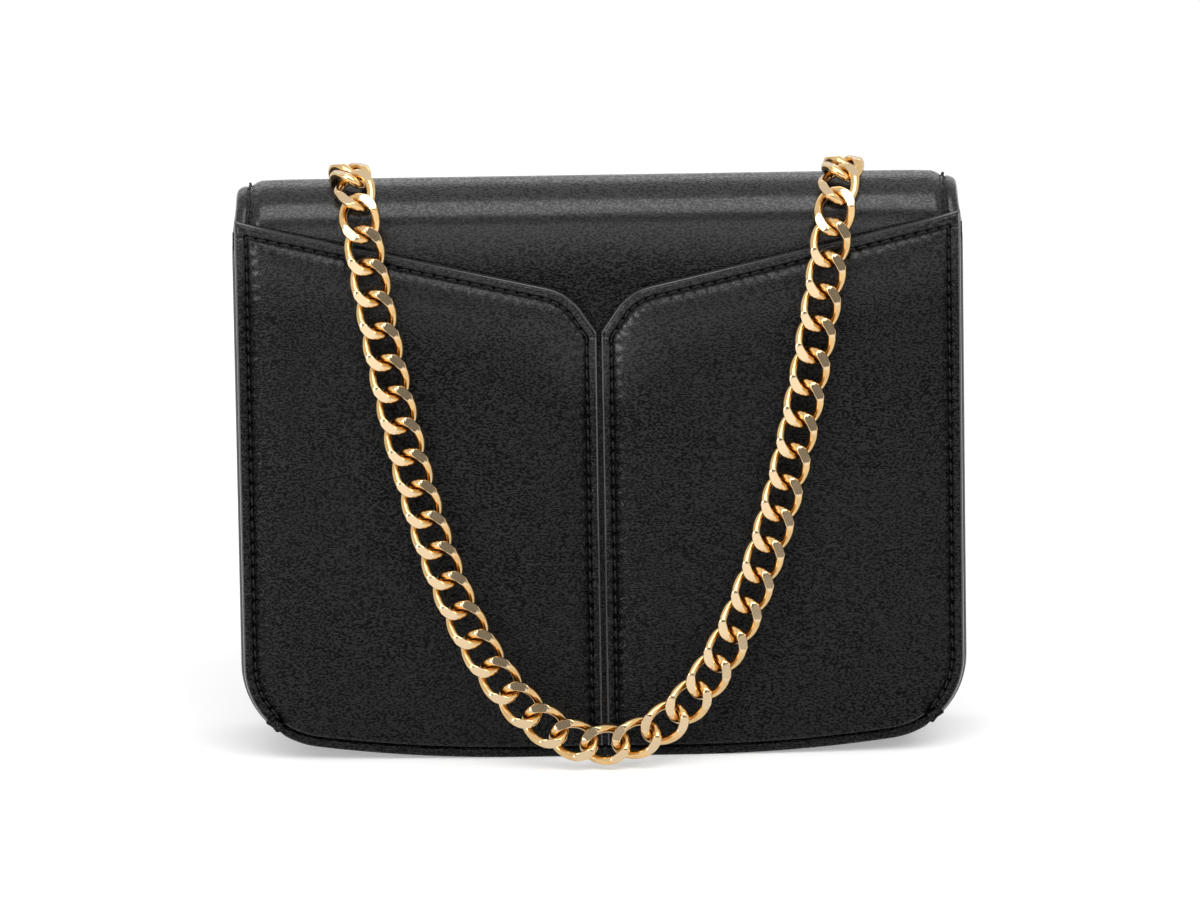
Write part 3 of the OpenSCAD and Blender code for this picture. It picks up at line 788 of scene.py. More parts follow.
class Socket:
    """An output socket that takes part in sums, each of which adds a Math node."""

    __add__ = sums("ADD")
    __radd__ = sums("ADD", swapped=True)
    __sub__ = sums("SUBTRACT")
    __rsub__ = sums("SUBTRACT", swapped=True)
    __mul__ = sums("MULTIPLY")
    __rmul__ = sums("MULTIPLY", swapped=True)
    __truediv__ = sums("DIVIDE")
    __pow__ = sums("POWER")

    def __init__(self, paint: "Nodes", socket: bpy.types.NodeSocket) -> None:
        """Wrap a socket of the tree that paint builds."""
        self.paint = paint
        self.socket = socket


class Nodes:
    """Builds the nodes of one tree, a material's or the world's."""

    def __init__(self, tree: bpy.types.NodeTree) -> None:
        """Work on a tree."""
        self.tree = tree

    def node(self, kind: str, settings: dict | None = None, sockets: dict | None = None) -> bpy.types.Node:
        """Add a node.

        Args:
            kind: The node's type.
            settings: Its own settings; "stops" holds a ramp's places and colours.
            sockets: Values or links of its input sockets, by name or number.

        Returns:
            The node.
        """
        made = self.tree.nodes.new(kind)
        for name, value in (settings or {}).items():
            if name == "stops":
                ramp = made.color_ramp.elements
                while len(ramp) < len(value):
                    ramp.new(0.5)
                for element, (place, colour) in zip(ramp, value):
                    element.position, element.color = place, (*colour, 1.0)
            else:
                setattr(made, name, value)
        for name, value in (sockets or {}).items():
            self.feed(made.inputs[name], value)
        return made

    def feed(self, target: bpy.types.NodeSocket, value: object) -> None:
        """Link a socket or set its value."""
        if isinstance(value, Socket):
            self.tree.links.new(value.socket, target)
        elif isinstance(value, bpy.types.NodeSocket):
            self.tree.links.new(value, target)
        elif isinstance(value, tuple) and len(value) == 3 and target.type == "RGBA":
            target.default_value = (*value, 1.0)
        else:
            target.default_value = value

    def out(self, node: bpy.types.Node, name: str | int = 0) -> Socket:
        """An output of a node as a socket for sums."""
        return Socket(self, node.outputs[name])

    def math(self, operation: str, *values: "Socket | float") -> Socket:
        """A Math node on one to three values."""
        settings = {"operation": operation}
        return self.out(self.node("ShaderNodeMath", settings, dict(enumerate(values))))

    def smooth(self, value: Socket, low: float, high: float) -> Socket:
        """Smooth step of a value from 0 at low to 1 at high."""
        sockets = {"Value": value, "From Min": low, "From Max": high}
        return self.out(self.node("ShaderNodeMapRange", {"interpolation_type": "SMOOTHSTEP"}, sockets))

    def hill(self, value: Socket, width: float) -> Socket:
        """exp(-(value / width)^2)."""
        return self.math("EXPONENT", (value / width) ** 2 * -1.0)

    def mix(self, share: Socket | float, first: object, second: object) -> Socket:
        """Colour between two colours."""
        node = self.node("ShaderNodeMix", {"data_type": "RGBA"}, {"Factor": share})
        self.feed(node.inputs[6], first)
        self.feed(node.inputs[7], second)
        return self.out(node, 2)

    def parts(self, vector: Socket | bpy.types.NodeSocket) -> tuple[Socket, Socket, Socket]:
        """The three parts of a vector."""
        split = self.node("ShaderNodeSeparateXYZ", None, {"Vector": vector})
        return self.out(split, "X"), self.out(split, "Y"), self.out(split, "Z")

    def place(self, scale: Sequence[float] = (1.0, 1.0, 1.0)) -> Socket:
        """Object coordinates, stretched by a scale."""
        coordinates = self.node("ShaderNodeTexCoord")
        sockets = {"Vector": coordinates.outputs["Object"], "Scale": scale}
        return self.out(self.node("ShaderNodeMapping", None, sockets))

    def noise(self, vector: Socket, scale: float, detail: float = 3.0, roughness: float = 0.5) -> Socket:
        """Noise value from 0 to 1."""
        sockets = {"Vector": vector, "Scale": scale, "Detail": detail, "Roughness": roughness}
        return self.out(self.node("ShaderNodeTexNoise", None, sockets))

    def mark(self, name: str) -> Socket:
        """A value that the mesh's points carry."""
        node = self.node("ShaderNodeAttribute", {"attribute_name": name})
        return self.out(node, "Fac")

    def warped(self, vector: Socket, scale: float, amount: float) -> Socket:
        """Coordinates pushed about by noise, so that cells lose their even look."""
        noise = self.node("ShaderNodeTexNoise", None, {"Vector": vector, "Scale": scale, "Detail": 2.0})
        sockets = {0: noise.outputs["Color"], "Scale": amount}
        scaled = self.node("ShaderNodeVectorMath", {"operation": "SCALE"}, sockets)
        moved = self.node("ShaderNodeVectorMath", {"operation": "ADD"}, {0: vector, 1: self.out(scaled)})
        return self.out(moved)

    def bump(self, height: Socket, distance: float, strength: float, below: Socket | None = None) -> Socket:
        """Bump node, which may lie on another."""
        sockets = {"Height": height, "Distance": distance, "Strength": strength}
        if below is not None:
            sockets["Normal"] = below
        return self.out(self.node("ShaderNodeBump", None, sockets))


class Paint(Nodes):
    """Builds the nodes of one material round its Principled shader."""

    def __init__(self, name: str) -> None:
        """Make the material."""
        self.material = bpy.data.materials.new(name)
        self.material.use_nodes = True
        super().__init__(self.material.node_tree)
        self.shader = self.tree.nodes["Principled BSDF"]

    def blacken(self, share: Socket) -> None:
        """Let the surface lose its light by a share, as at the bottom of a hole."""
        black = self.node("ShaderNodeBsdfDiffuse", None, {"Color": (0.0, 0.0, 0.0)})
        sockets = {0: share, 1: self.shader.outputs[0], 2: black.outputs[0]}
        mixed = self.node("ShaderNodeMixShader", None, sockets)
        self.feed(self.tree.nodes["Material Output"].inputs["Surface"], mixed.outputs[0])

    def finish(self, **sockets: object) -> Material:
        """Feed the Principled shader and return the material."""
        for name, value in sockets.items():
            self.feed(self.shader.inputs[name.replace("_", " ")], value)
        return self.material


# Finishes


@dataclass(frozen=True)
class LeatherFinish:
    """Calf leather with worm-like grain: paler on its ridges, puckered at seams, painted at edges.

    The grain is one band of noise, stretched and warped, whose high half makes the ridges. Scales count
    in a metre, depths and the warp are in metres, and the widths at seams and edges in millimetres.
    Painted shade, black mixed in by a share, darkens the grain's valleys, the stitch holes and the
    groove along the stitches.
    """

    name: str
    colour: Colour = (0.002, 0.002, 0.0023)
    ridge_colour: Colour = (0.006, 0.006, 0.0065)
    paint_colour: Colour = (0.03, 0.03, 0.032)
    roughness: float = 0.36
    gloss: float = 0.2
    worm: float = 1280.0
    stretch: float = 1.7
    warp_scale: float = 260.0
    warp: float = 0.0016
    patch_scale: float = 34.0
    soft_scale: float = 120.0
    soft_depth: float = 0.0004
    pucker_depth: float = 0.0006
    pucker_width: float = 1.4
    hole_width: float = 0.5
    rim_fade: Span = (0.5, 0.75)
    grain_depth: float = 0.00016
    valley_shade: float = 0.64
    coat_roughness: float = 0.22
    seams: bool = True

    def material(self) -> Material:
        """The leather's material."""
        paint = Paint(self.name)
        place = paint.place()
        bent = paint.warped(paint.place((1.0, 1.0, self.stretch)), self.warp_scale, self.warp)
        worms = paint.smooth(paint.noise(bent, self.worm, 0.0), 0.34, 0.66)
        fine = paint.noise(bent, self.worm * 2.2, 2.0)
        patches = paint.noise(place, self.patch_scale, 3.0, 0.55)
        strong = 0.85 + 0.25 * paint.smooth(patches, 0.3, 0.7)
        grain = (worms + fine * 0.5) * strong
        soft = paint.noise(place, self.soft_scale, 2.0)
        normal = paint.bump(soft, self.soft_depth, 0.35)
        colour = paint.mix(worms * strong * (0.45 + 0.7 * fine), self.colour, self.ridge_colour)
        rough = self.roughness + 0.1 * (patches - 0.5) - 0.08 * worms
        # Painted shade: the grain's valleys are darkened by mixing in black, as if they were self-shadowed
        painted_shade = (1.0 - worms) * strong * self.valley_shade
        coat = 0.0
        if self.seams:
            edge, gap, run = (paint.mark(m) for m in ("edge_gap", "seam_gap", "seam_run"))
            near = paint.hill(gap - 0.4, self.pucker_width)
            pull = paint.math("COSINE", run * (2 * math.pi)) * 0.5 + 0.5
            normal = paint.bump(1.0 - near * pull, self.pucker_depth, 1.0, normal)
            # Mask of the stitch holes, which are painted dark as shade below
            hole = paint.hill(gap, self.hole_width) * paint.smooth(pull, 0.75, 0.97)
            rim = 1.0 - paint.smooth(edge, *self.rim_fade)
            colour = paint.mix(rim, colour, self.paint_colour)
            rough = rough - rim * 0.1
            polish = paint.mark("polish")
            painted_shade = painted_shade * (1.0 - rim) * (1.0 - polish * 0.6)
            # Painted shade: black in the stitch holes and a lighter darkening along the seam's groove
            groove = hole * 0.9 + paint.hill(gap, 0.7) * (1.0 - hole) * 0.35
            painted_shade = paint.math("MAXIMUM", painted_shade, groove)
            grain = grain * (1.0 - rim * 0.85) * (1.0 - polish * 0.5)
            coat = paint.math("MAXIMUM", rim, polish * (1.0 - hole))
        # Mix black into the surface by the share of painted shade
        paint.blacken(painted_shade)
        normal = paint.bump(grain, self.grain_depth, 1.0, normal)
        return paint.finish(
            Base_Color=colour, Roughness=rough, Specular_IOR_Level=self.gloss, Coat_Weight=coat,
            Coat_Roughness=self.coat_roughness, Normal=normal,
        )


@dataclass(frozen=True)
class MetalFinish:
    """Polished plated metal with faint scratches; ground facets are a little duller."""

    name: str
    colour: Colour = (0.71, 0.49, 0.235)
    deep_colour: Colour = (0.61, 0.39, 0.17)
    facet_colour: Colour = (0.65, 0.49, 0.305)
    roughness: float = 0.11
    facet_roughness: float = 0.16
    cloud_scale: float = 260.0
    cloud_depth: float = 0.00004
    streak_scale: Sequence[float] = (3200.0, 3200.0, 420.0)
    streak_depth: float = 0.000006
    facets: bool = False

    def material(self) -> Material:
        """The metal's material."""
        paint = Paint(self.name)
        cloud = paint.noise(paint.place(), self.cloud_scale, 3.0)
        colour = paint.mix(paint.smooth(cloud, 0.3, 0.8), self.colour, self.deep_colour)
        rough = self.roughness + 0.05 * cloud
        normal = paint.bump(cloud, self.cloud_depth, 0.35)
        if self.facets:
            ground = paint.smooth(paint.mark("ground"), 0.4, 0.6)
            colour = paint.mix(ground, colour, self.facet_colour)
            rough = rough + ground * (self.facet_roughness - self.roughness)
        else:
            streaks = paint.noise(paint.place(self.streak_scale), 1.0, 2.0)
            normal = paint.bump(streaks, self.streak_depth, 0.4, normal)
        return paint.finish(Base_Color=colour, Metallic=1.0, Roughness=rough, Normal=normal)


@dataclass(frozen=True)
class ThreadFinish:
    """Waxed polyester thread."""

    name: str
    colour: Colour = (0.002, 0.002, 0.0022)
    light_colour: Colour = (0.008, 0.008, 0.0085)
    gloss: float = 0.25
    strand_scale: float = 5200.0
    strand_depth: float = 0.00008

    def material(self) -> Material:
        """The thread's material."""
        paint = Paint(self.name)
        strands = paint.noise(paint.place(), self.strand_scale, 2.0)
        colour = paint.mix(strands, self.colour, self.light_colour)
        return paint.finish(
            Base_Color=colour, Roughness=0.4 + 0.2 * strands, Specular_IOR_Level=self.gloss,
            Normal=paint.bump(strands, self.strand_depth, 0.8),
        )


@dataclass(frozen=True)
class ClothFinish:
    """Fine twill lining cloth."""

    name: str
    colour: Colour = (0.016, 0.016, 0.018)
    light_colour: Colour = (0.034, 0.034, 0.037)
    threads: float = 2600.0
    fuzz_scale: float = 900.0
    fuzz_depth: float = 0.0001
    weave_depth: float = 0.00006
    gloss: float = 0.3

    def material(self) -> Material:
        """The cloth's material."""
        paint = Paint(self.name)
        place = paint.place()
        x, y, z = paint.parts(place)
        warp = paint.math("SINE", (x + y) * (2 * math.pi * self.threads))
        weft = paint.math("SINE", (z + y) * (2 * math.pi * self.threads))
        twill = paint.math("SINE", (x + z + y) * (math.pi * self.threads))
        weave = warp * weft * 0.3 + twill * 0.3 + 0.5
        fuzz = paint.noise(place, self.fuzz_scale, 3.0)
        colour = paint.mix(weave * 0.6 + fuzz * 0.4, self.colour, self.light_colour)
        return paint.finish(
            Base_Color=colour, Roughness=0.72 + 0.15 * fuzz, Specular_IOR_Level=self.gloss,
            Normal=paint.bump(weave, self.weave_depth, 0.5, paint.bump(fuzz, self.fuzz_depth, 0.3)),
        )


@dataclass(frozen=True)
class BoardFinish:
    """Grey bag board with loose fibres."""

    name: str
    colour: Colour = (0.2, 0.19, 0.17)
    fleck_colour: Colour = (0.36, 0.34, 0.31)
    fibre_scale: Sequence[float] = (300.0, 90.0, 900.0)
    fibre_depth: float = 0.0002
    speck_scale: float = 1400.0

    def material(self) -> Material:
        """The board's material."""
        paint = Paint(self.name)
        fibres = paint.noise(paint.place(self.fibre_scale), 1.0, 5.0, 0.7)
        specks = paint.noise(paint.place(), self.speck_scale, 2.0)
        colour = paint.mix(fibres * 0.7 + specks * 0.3, self.colour, self.fleck_colour)
        normal = paint.bump(fibres, self.fibre_depth, 0.5)
        return paint.finish(Base_Color=colour, Roughness=0.85 + 0.1 * specks, Normal=normal)


@dataclass
class Wardrobe:
    """Every material of the bag, made once."""

    leather: Material = field(default_factory=LeatherFinish("calf_leather").material)
    plain: Material = field(default_factory=LeatherFinish("calf_leather_plain", seams=False).material)
    inside: Material = field(
        default_factory=LeatherFinish(
            "lining_leather", colour=(0.012, 0.012, 0.0135), ridge_colour=(0.022, 0.022, 0.024),
            roughness=0.6, gloss=0.35, worm=1600.0, seams=False,
        ).material
    )
    edge: Material = field(
        default_factory=LeatherFinish(
            "edge_paint", colour=(0.026, 0.026, 0.027), ridge_colour=(0.034, 0.034, 0.036),
            roughness=0.3, gloss=0.5, worm=500.0, grain_depth=0.00002, valley_shade=0.1, seams=False,
        ).material
    )
    cloth: Material = field(default_factory=ClothFinish("lining_cloth").material)
    thread: Material = field(default_factory=ThreadFinish("black_thread").material)
    chain: Material = field(default_factory=MetalFinish("gold_chain", facets=True).material)
    gold: Material = field(default_factory=MetalFinish("gold_fittings").material)
    steel: Material = field(
        default_factory=MetalFinish(
            "nickel", colour=(0.62, 0.61, 0.58), deep_colour=(0.48, 0.47, 0.45), roughness=0.24,
        ).material
    )
    board: Material = field(default_factory=BoardFinish("bag_board").material)

    @property
    def skins(self) -> list[Material]:
        """Materials of sewn leather: its face, its back and its painted edge."""
        return [self.leather, self.inside, self.edge]


# Putting pieces into the scene


def added(name: str, data: bpy.types.ID) -> bpy.types.Object:
    """A new object in the scene."""
    made = bpy.data.objects.new(name, data)
    bpy.context.scene.collection.objects.link(made)
    return made


@dataclass
class Workshop:
    """Turns solids in bag millimetres into pieces in the frame, and keeps count of them."""

    shift: float
    wardrobe: Wardrobe
    pieces: list[str] = field(default_factory=list)

    def put(
        self, name: str, solid: Solid, materials: Sequence[Material], sharp: float = 50.0
    ) -> bpy.types.Object:
        """Make a piece.

        Args:
            name: The piece's name.
            solid: Its shape.
            materials: Materials by the order of Surface, the last repeated.
            sharp: Angle in degrees above which an edge is sharp.

        Returns:
            The object, at the origin, on no body yet.
        """
        points = (solid.points + [0.0, self.shift, 0.0]) * MM
        mesh = bpy.data.meshes.new(name)
        faces = [tuple(face) for group in solid.faces for face in group.tolist()]
        mesh.from_pydata(points.tolist(), [], faces)
        which = [min(s.value, len(materials) - 1) for s in solid.surfaces]
        indexes = np.concatenate([np.full(len(g), w) for g, w in zip(solid.faces, which)])
        mesh.polygons.foreach_set("material_index", indexes.astype(np.int32))
        mesh.polygons.foreach_set("use_smooth", np.ones(len(faces), bool))
        for material in materials:
            mesh.materials.append(material)
        for mark, values in solid.marks.items():
            attribute = mesh.attributes.new(mark, "FLOAT", "POINT")
            attribute.data.foreach_set("value", values.astype(np.float32))
        mesh.update()
        mesh.set_sharp_from_angle(angle=math.radians(sharp))
        mesh.validate()
        piece = added(name, mesh)
        self.pieces.append(name)
        LOG.info("%s: %d faces", name, len(faces))
        return piece

    def sew(self, name: str, panels: Sequence[Panel]) -> bpy.types.Object:
        """Make the stitches of some panels as one piece."""
        return self.put(name, Stitches().solid(panels), [self.wardrobe.thread], 60.0)


# Sub-assemblies


@dataclass
class RearPocket:
    """The two padded panels of the slip pocket, with the sheet that lines it."""

    form: BagForm
    drop: float = 9.0
    slope: float = 12.8
    notch_radius: float = 17.0
    notch_fall: float = 56.0
    notch_run: float = 7.5
    gap: float = 1.2
    side_inset: float = 0.8
    leather: float = 2.2
    padding: float = 1.1
    sheet: float = 0.8
    sheet_inset: float = 2.0
    crown: float = 1.4
    play: float = 0.05
    butt_depth: float = 0.35
    butt_width: float = 0.3
    foot_butt: float = 1.4
    foot_butt_ends: Span = (2.2, 3.2)
    side_butt: float = 4.4
    side_butt_ends: Span = (-4.2, -3.2)
    polish: float = 0.4
    polish_reach: Span = (4.0, 26.0)

    @property
    def notch_centre(self) -> Array:
        """Centre of the round that leads the right panel's edge into the notch."""
        steep, slope = math.radians(self.notch_fall), math.radians(self.slope)
        x = self.gap / 2 + self.notch_run * math.cos(steep) + self.notch_radius * math.sin(steep)
        fall = (self.form.half_width - x) * math.tan(slope) + self.notch_radius / math.cos(slope)
        return np.array([x, self.form.height - self.drop - fall])

    def edge_lines(self, inset: float, middle: float) -> tuple[Array, Array, Array, Array]:
        """Lower, upper, left and right edges of the right panel.

        Args:
            inset: How far the upper edge is moved inwards.
            middle: Where the left edge stands, from the bag's middle.

        Returns:
            The four lines, meeting at their corners.
        """
        bend = arc(self.notch_centre, self.notch_radius - inset, 90 + self.notch_fall, 90 + self.slope)
        fall = (bend[0, 0] - middle) * math.tan(math.radians(self.notch_fall))
        foot = [middle, bend[0, 1] - fall]
        side = self.form.half_width - self.side_inset
        rise = (side - bend[-1, 0]) * math.tan(math.radians(self.slope))
        high = np.concatenate([[foot], bend, [[side, bend[-1, 1] + rise]]])
        low = self.form.panel_base(self.side_inset)
        low = np.concatenate([[[middle, low[0, 1]]], low[low[:, 0] > middle + 0.5]])
        left = np.array([low[0], foot])
        right = self.form.right_side(self.side_inset, high[-1, 1])
        return low, high, left, right

    def panel(self) -> Panel:
        """The right panel."""
        low, high, left, right = self.edge_lines(0.0, self.gap / 2)
        face = self.sheet + self.leather
        sewn = Finish(margin=3.3, bead=0.7, bead_rise=0.2, crease=0.2, groove=0.6, roll=0.5)
        finishes = (
            Finish(swell=2.6, roll=1.9),
            sewn,
            replace(sewn, margin=3.0),
            Finish(margin=self.form.seam - self.side_inset, bead=0.8, groove=0.6, roll=0.8),
        )

        def butts(flat: Array) -> Array:
            """Grooves across the margins where edge strips meet: at the notch's foot and at the side."""
            foot, corner = flat - left[1], flat - right[-1]
            near = 1 - ease(foot[:, 0], *self.foot_butt_ends)
            inner = near * np.exp(-(((foot[:, 1] + self.foot_butt) / self.butt_width) ** 2))
            near = ease(corner[:, 0], *self.side_butt_ends)
            outer = near * np.exp(-(((corner[:, 1] + self.side_butt) / self.butt_width) ** 2))
            return -self.butt_depth * (inner + outer)

        return Panel(
            low, high, left, right, finishes,
            lay=lambda flat, lift: self.form.wrapped(flat, face + lift),
            thickness=even(self.leather), swell=self.padding, crown=self.crown, fine=0.22, coarse=0.8,
            extra=butts,
            polish=lambda flat: self.polish * (1 - ease(nearest(flat, high)[0], *self.polish_reach)),
        )

    def lining(self) -> Panel:
        """The right half of the sheet that lines the pocket."""
        low, high, left, right = self.edge_lines(self.sheet_inset, 0.0)
        finish = Finish(swell=0.0, roll=0.3)
        return Panel(
            low, high, left, right, (finish, finish, PLAIN, finish),
            lay=lambda flat, lift: self.form.wrapped(flat, self.sheet - self.play + lift),
            thickness=even(self.sheet - 2 * self.play), fine=1.0, coarse=4.0,
        )

    def build(self, shop: Workshop) -> None:
        """Make both panels with their stitches, and the lining sheet."""
        for side in Side:
            panel = self.panel()
            panel.lay = lambda flat, lift, lay=panel.lay, side=side: lay(flat, lift) * side.flip
            skins = shop.wardrobe.skins
            piece = shop.put(f"pocket_leather_{side.word}", panel.solid(), skins)
            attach(piece, "shell")
            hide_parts(f"pocket_panel_{side.word}")
            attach(shop.sew(f"pocket_stitches_{side.word}", [panel]), "shell")
        right, left = self.lining().solid(), self.lining().solid()
        left.points = left.points * Side.LEFT.flip
        both = joined([right, left.outward()])
        piece = shop.put("pocket_sheet", both, [shop.wardrobe.inside])
        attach(piece, "shell")
        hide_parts("pocket_lining")


@dataclass
class Covering:
    """The leather that runs up the rear, over the crest and on as the flap, and the front panel.

    A span of runs says where something fades in or out along the pattern.
    """

    form: BagForm
    strip_drop: float = 1.2
    strip_round: float = 3.2
    strip_edge: Span = (-0.4, 3.5)
    strip_in: Span = (147.0, 162.0)
    strip_out: Span = (200.0, 240.0)
    taper: float = 1.0
    taper_in: Span = (150.0, 168.0)
    narrow_in: Span = (-2.0, 4.0)
    thick_in: Span = (-0.8, 0.8)
    puff_height: float = 0.6
    puff_width: float = 4.0
    puff_in: Span = (150.0, 164.0)
    puff_out: Span = (190.0, 215.0)
    polish: float = 0.7
    polish_loss: float = 0.5
    polish_in: Span = (140.0, 158.0)
    polish_out: Span = (200.0, 230.0)
    crest_seam_low: float = 156.0
    flap_swell: float = 0.7
    swell_width: float = 2.6
    swell_in: Span = (-6.0, 20.0)
    hinge_before: float = 1.8
    hinge_after: float = 7.5
    fold_reach: float = 5.5
    front_panel_top: float = 140.1
    front_sink: float = 0.8
    snap_height: float = 70.0
    snap_radius: float = 7.1
    recess_floor: float = 0.15
    recess_edge: Span = (0.0, 1.4)

    @property
    def low_run(self) -> float:
        """Run at the flap's lower edge."""
        return self.form.front_run + self.form.ridge_centre[1] - self.form.flap_low

    @property
    def side_seam(self) -> Finish:
        """Finish of the sewn sides over the crest."""
        return Finish(margin=self.form.seam, roll=0.6, swell=3.2)

    def strip(self, flat: Array) -> Array:
        """How far the side strips sink over the crest: they lie below the middle and round off.

        It is drop * (1 - ease(gap from stitches)) + r - sqrt(r^2 - (r - gap)^2), faded in above the
        pocket's edge and out again on the flap.

        Args:
            flat: Pattern points as (..., 2).

        Returns:
            Depths, at least 0.
        """
        run = flat[..., 1]
        gap = self.half_width(run) - np.abs(flat[..., 0])
        high = ease(run, *self.strip_in) * (1 - ease(run, *self.strip_out))
        short = np.clip(self.strip_round - gap, 0.0, self.strip_round)
        bend = self.strip_round - np.sqrt(self.strip_round**2 - short**2)
        fall = 1 - ease_about(gap, self.form.seam, self.strip_edge)
        return high * (bend + self.strip_drop * fall)

    def half_width(self, run: Array) -> Array:
        """Half width of the leather at a run: the bag's, tapered at the crest and less on the flap."""
        taper = self.taper * ease(run, *self.taper_in) * (1 - ease(run, *self.strip_out))
        narrow = ease_about(run, self.form.hinge_run, self.narrow_in)
        return self.form.half_width - np.maximum(taper, self.form.flap_inset * narrow)

    def side_line(self, first: float, last: float, step: float = 2.0) -> Array:
        """Right edge of the pattern between two runs."""
        run = np.linspace(first, last, max(2, int((last - first) / step)))
        return np.stack([self.half_width(run), run], 1)

    def depth(self, flat: Array) -> Array:
        """Thickness of the covering: the body's leather, and the whole flap's beyond the hinge."""
        form = self.form
        share = ease_about(flat[..., 1], form.hinge_run, self.thick_in)
        return form.leather + (form.flap_thickness - form.leather) * share

    def rear(self) -> Panel:
        """Rear panel with the crest, up to the middle of the flap's top."""
        form = self.form
        low = mirrored(form.panel_base(0.0))
        bend = form.right_side(0.0, form.height)[:-1]
        right = np.concatenate([bend, self.side_line(bend[-1, 1] + 2.0, form.join_run)])
        return Panel(
            low, rung(right, -1), right * FLIP, right,
            (Finish(swell=0.0, roll=0.4), PLAIN, self.side_seam, self.side_seam),
            lay=form.wrapped, thickness=self.depth, sink=self.strip, coarse=2.4,
            extra=lambda flat: self.puff_height * self.puff(flat),
            polish=lambda flat: self.polish * ease(flat[:, 1], *self.polish_in),
        )

    def puff(self, flat: Array) -> Array:
        """Share of the crest's own fullness: full on top between the strips, none on the rear face."""
        gap = self.half_width(flat[:, 1]) - np.abs(flat[:, 0]) - self.form.seam
        over = ease(flat[:, 1], *self.puff_in) * (1 - ease(flat[:, 1], *self.puff_out))
        return over * (1 - np.exp(-np.maximum(gap, 0) / self.puff_width))

    def flap(self) -> Panel:
        """The flap from the middle of its top, over the ridge and down the front."""
        form = self.form
        side = form.half_width - form.flap_inset
        centre = np.array([side - form.flap_corner, self.low_run - form.flap_corner])
        bend = arc(centre, form.flap_corner, 45, 0)
        tail = arc(centre, form.flap_corner, 90, 45)
        start = self.side_line(form.join_run, centre[1] - 2.0)
        right = np.concatenate([start, bend[::-1]])
        high = mirrored(np.concatenate([[[0.0, self.low_run]], tail]))
        return Panel(
            rung(right, 0), high, right * FLIP, right,
            (PLAIN, Finish(margin=form.seam, bead=0.9, roll=0.7), self.side_seam, self.side_seam),
            lay=form.wrapped, thickness=even(form.flap_thickness), sink=self.strip, coarse=2.4,
            extra=lambda flat: self.swell(flat) + self.puff_height * self.puff(flat),
            polish=lambda flat: self.polish - self.polish_loss * ease(flat[:, 1], *self.polish_out),
        )

    def swell(self, flat: Array) -> Array:
        """Fullness of the flap's front inside its stitches, which starts beyond the ridge."""
        form = self.form
        side = form.half_width - form.flap_inset - np.abs(flat[:, 0]) - form.seam
        foot = self.low_run - flat[:, 1] - form.seam
        inside = np.maximum(np.minimum(side, foot), 0.0)
        over = ease_about(flat[:, 1], form.front_run, self.swell_in)
        return self.flap_swell * (1 - np.exp(-inside / self.swell_width)) * over

    def front(self) -> Panel:
        """Front panel of the body, behind the flap."""
        form = self.form
        low = mirrored(form.panel_base(0.0))
        right = form.right_side(0.0, self.front_panel_top)
        sewn = Finish(margin=form.seam, bead=0.8, roll=0.6, swell=3.2)

        def lay(flat: Array, lift: Array) -> Array:
            """Front view's point at the front panel's depth plus the lift."""
            return grid(flat[..., 0], form.depth - self.front_sink + lift, flat[..., 1])

        def recess(flat: Array) -> Array:
            """Round recess down to the board, in which the snap's socket sits."""
            away = np.hypot(flat[:, 0], flat[:, 1] - self.snap_height)
            rise = ease_about(away, self.snap_radius, self.recess_edge)
            return -(form.leather - self.recess_floor) * (1 - rise)

        return Panel(
            low, rung(right, -1), right * FLIP, right,
            (Finish(swell=2.6, roll=0.8), Finish(margin=3.6, bead=0.8, roll=0.6), sewn, sewn),
            lay=lay, thickness=even(form.leather - self.front_sink), swell=0.7, coarse=1.0, extra=recess,
        )

    def build(self, shop: Workshop) -> None:
        """Make the covering's pieces: the rear with the crest, the flap and the front panel, each with its
        stitches.
        """
        form, skins = self.form, shop.wardrobe.skins
        rear, flap, front = self.rear(), self.flap(), self.front()
        reaches = [-self.hinge_before, self.hinge_after, -self.fold_reach, self.fold_reach]
        bends = np.array([form.hinge_run, form.hinge_run, form.fold_run, form.fold_run])
        (before, after, fold_start, fold_end), _ = form.side_view(bends + reaches)
        leather = shop.put("rear_and_crest_leather", rear.solid(), skins)
        stitches = shop.sew("crest_stitches", [self.crest_only(rear)])
        for piece in (leather, stitches):
            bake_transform(piece)
        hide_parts("back_panel")
        leather = shop.put("flap_leather", flap.solid(), skins)
        stitches = shop.sew("flap_stitches", [flap])
        for piece in (leather, stitches):
            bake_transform(piece)
        nodes = ["flap_top_leather", "flap_top_lining", "flap_front_leather", "flap_front_lining"]
        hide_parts(*nodes)
        leather = shop.put("front_leather", front.solid(), skins)
        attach(leather, "shell")
        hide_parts("front_panel")
        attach(shop.sew("front_stitches", [front]), "shell")

    def crest_only(self, rear: Panel) -> Panel:
        """The rear panel's sewn sides above the pocket's edge, where stitches show."""
        keep = rear.right[:, 1] >= self.crest_seam_low
        right = np.concatenate([[[self.form.half_width, self.crest_seam_low]], rear.right[keep]])
        return Panel(
            rung(right, 0), rear.high, right * FLIP, right, (PLAIN, PLAIN, *rear.finishes[2:]),
            lay=rear.lay, thickness=rear.thickness, extra=rear.extra,
        )


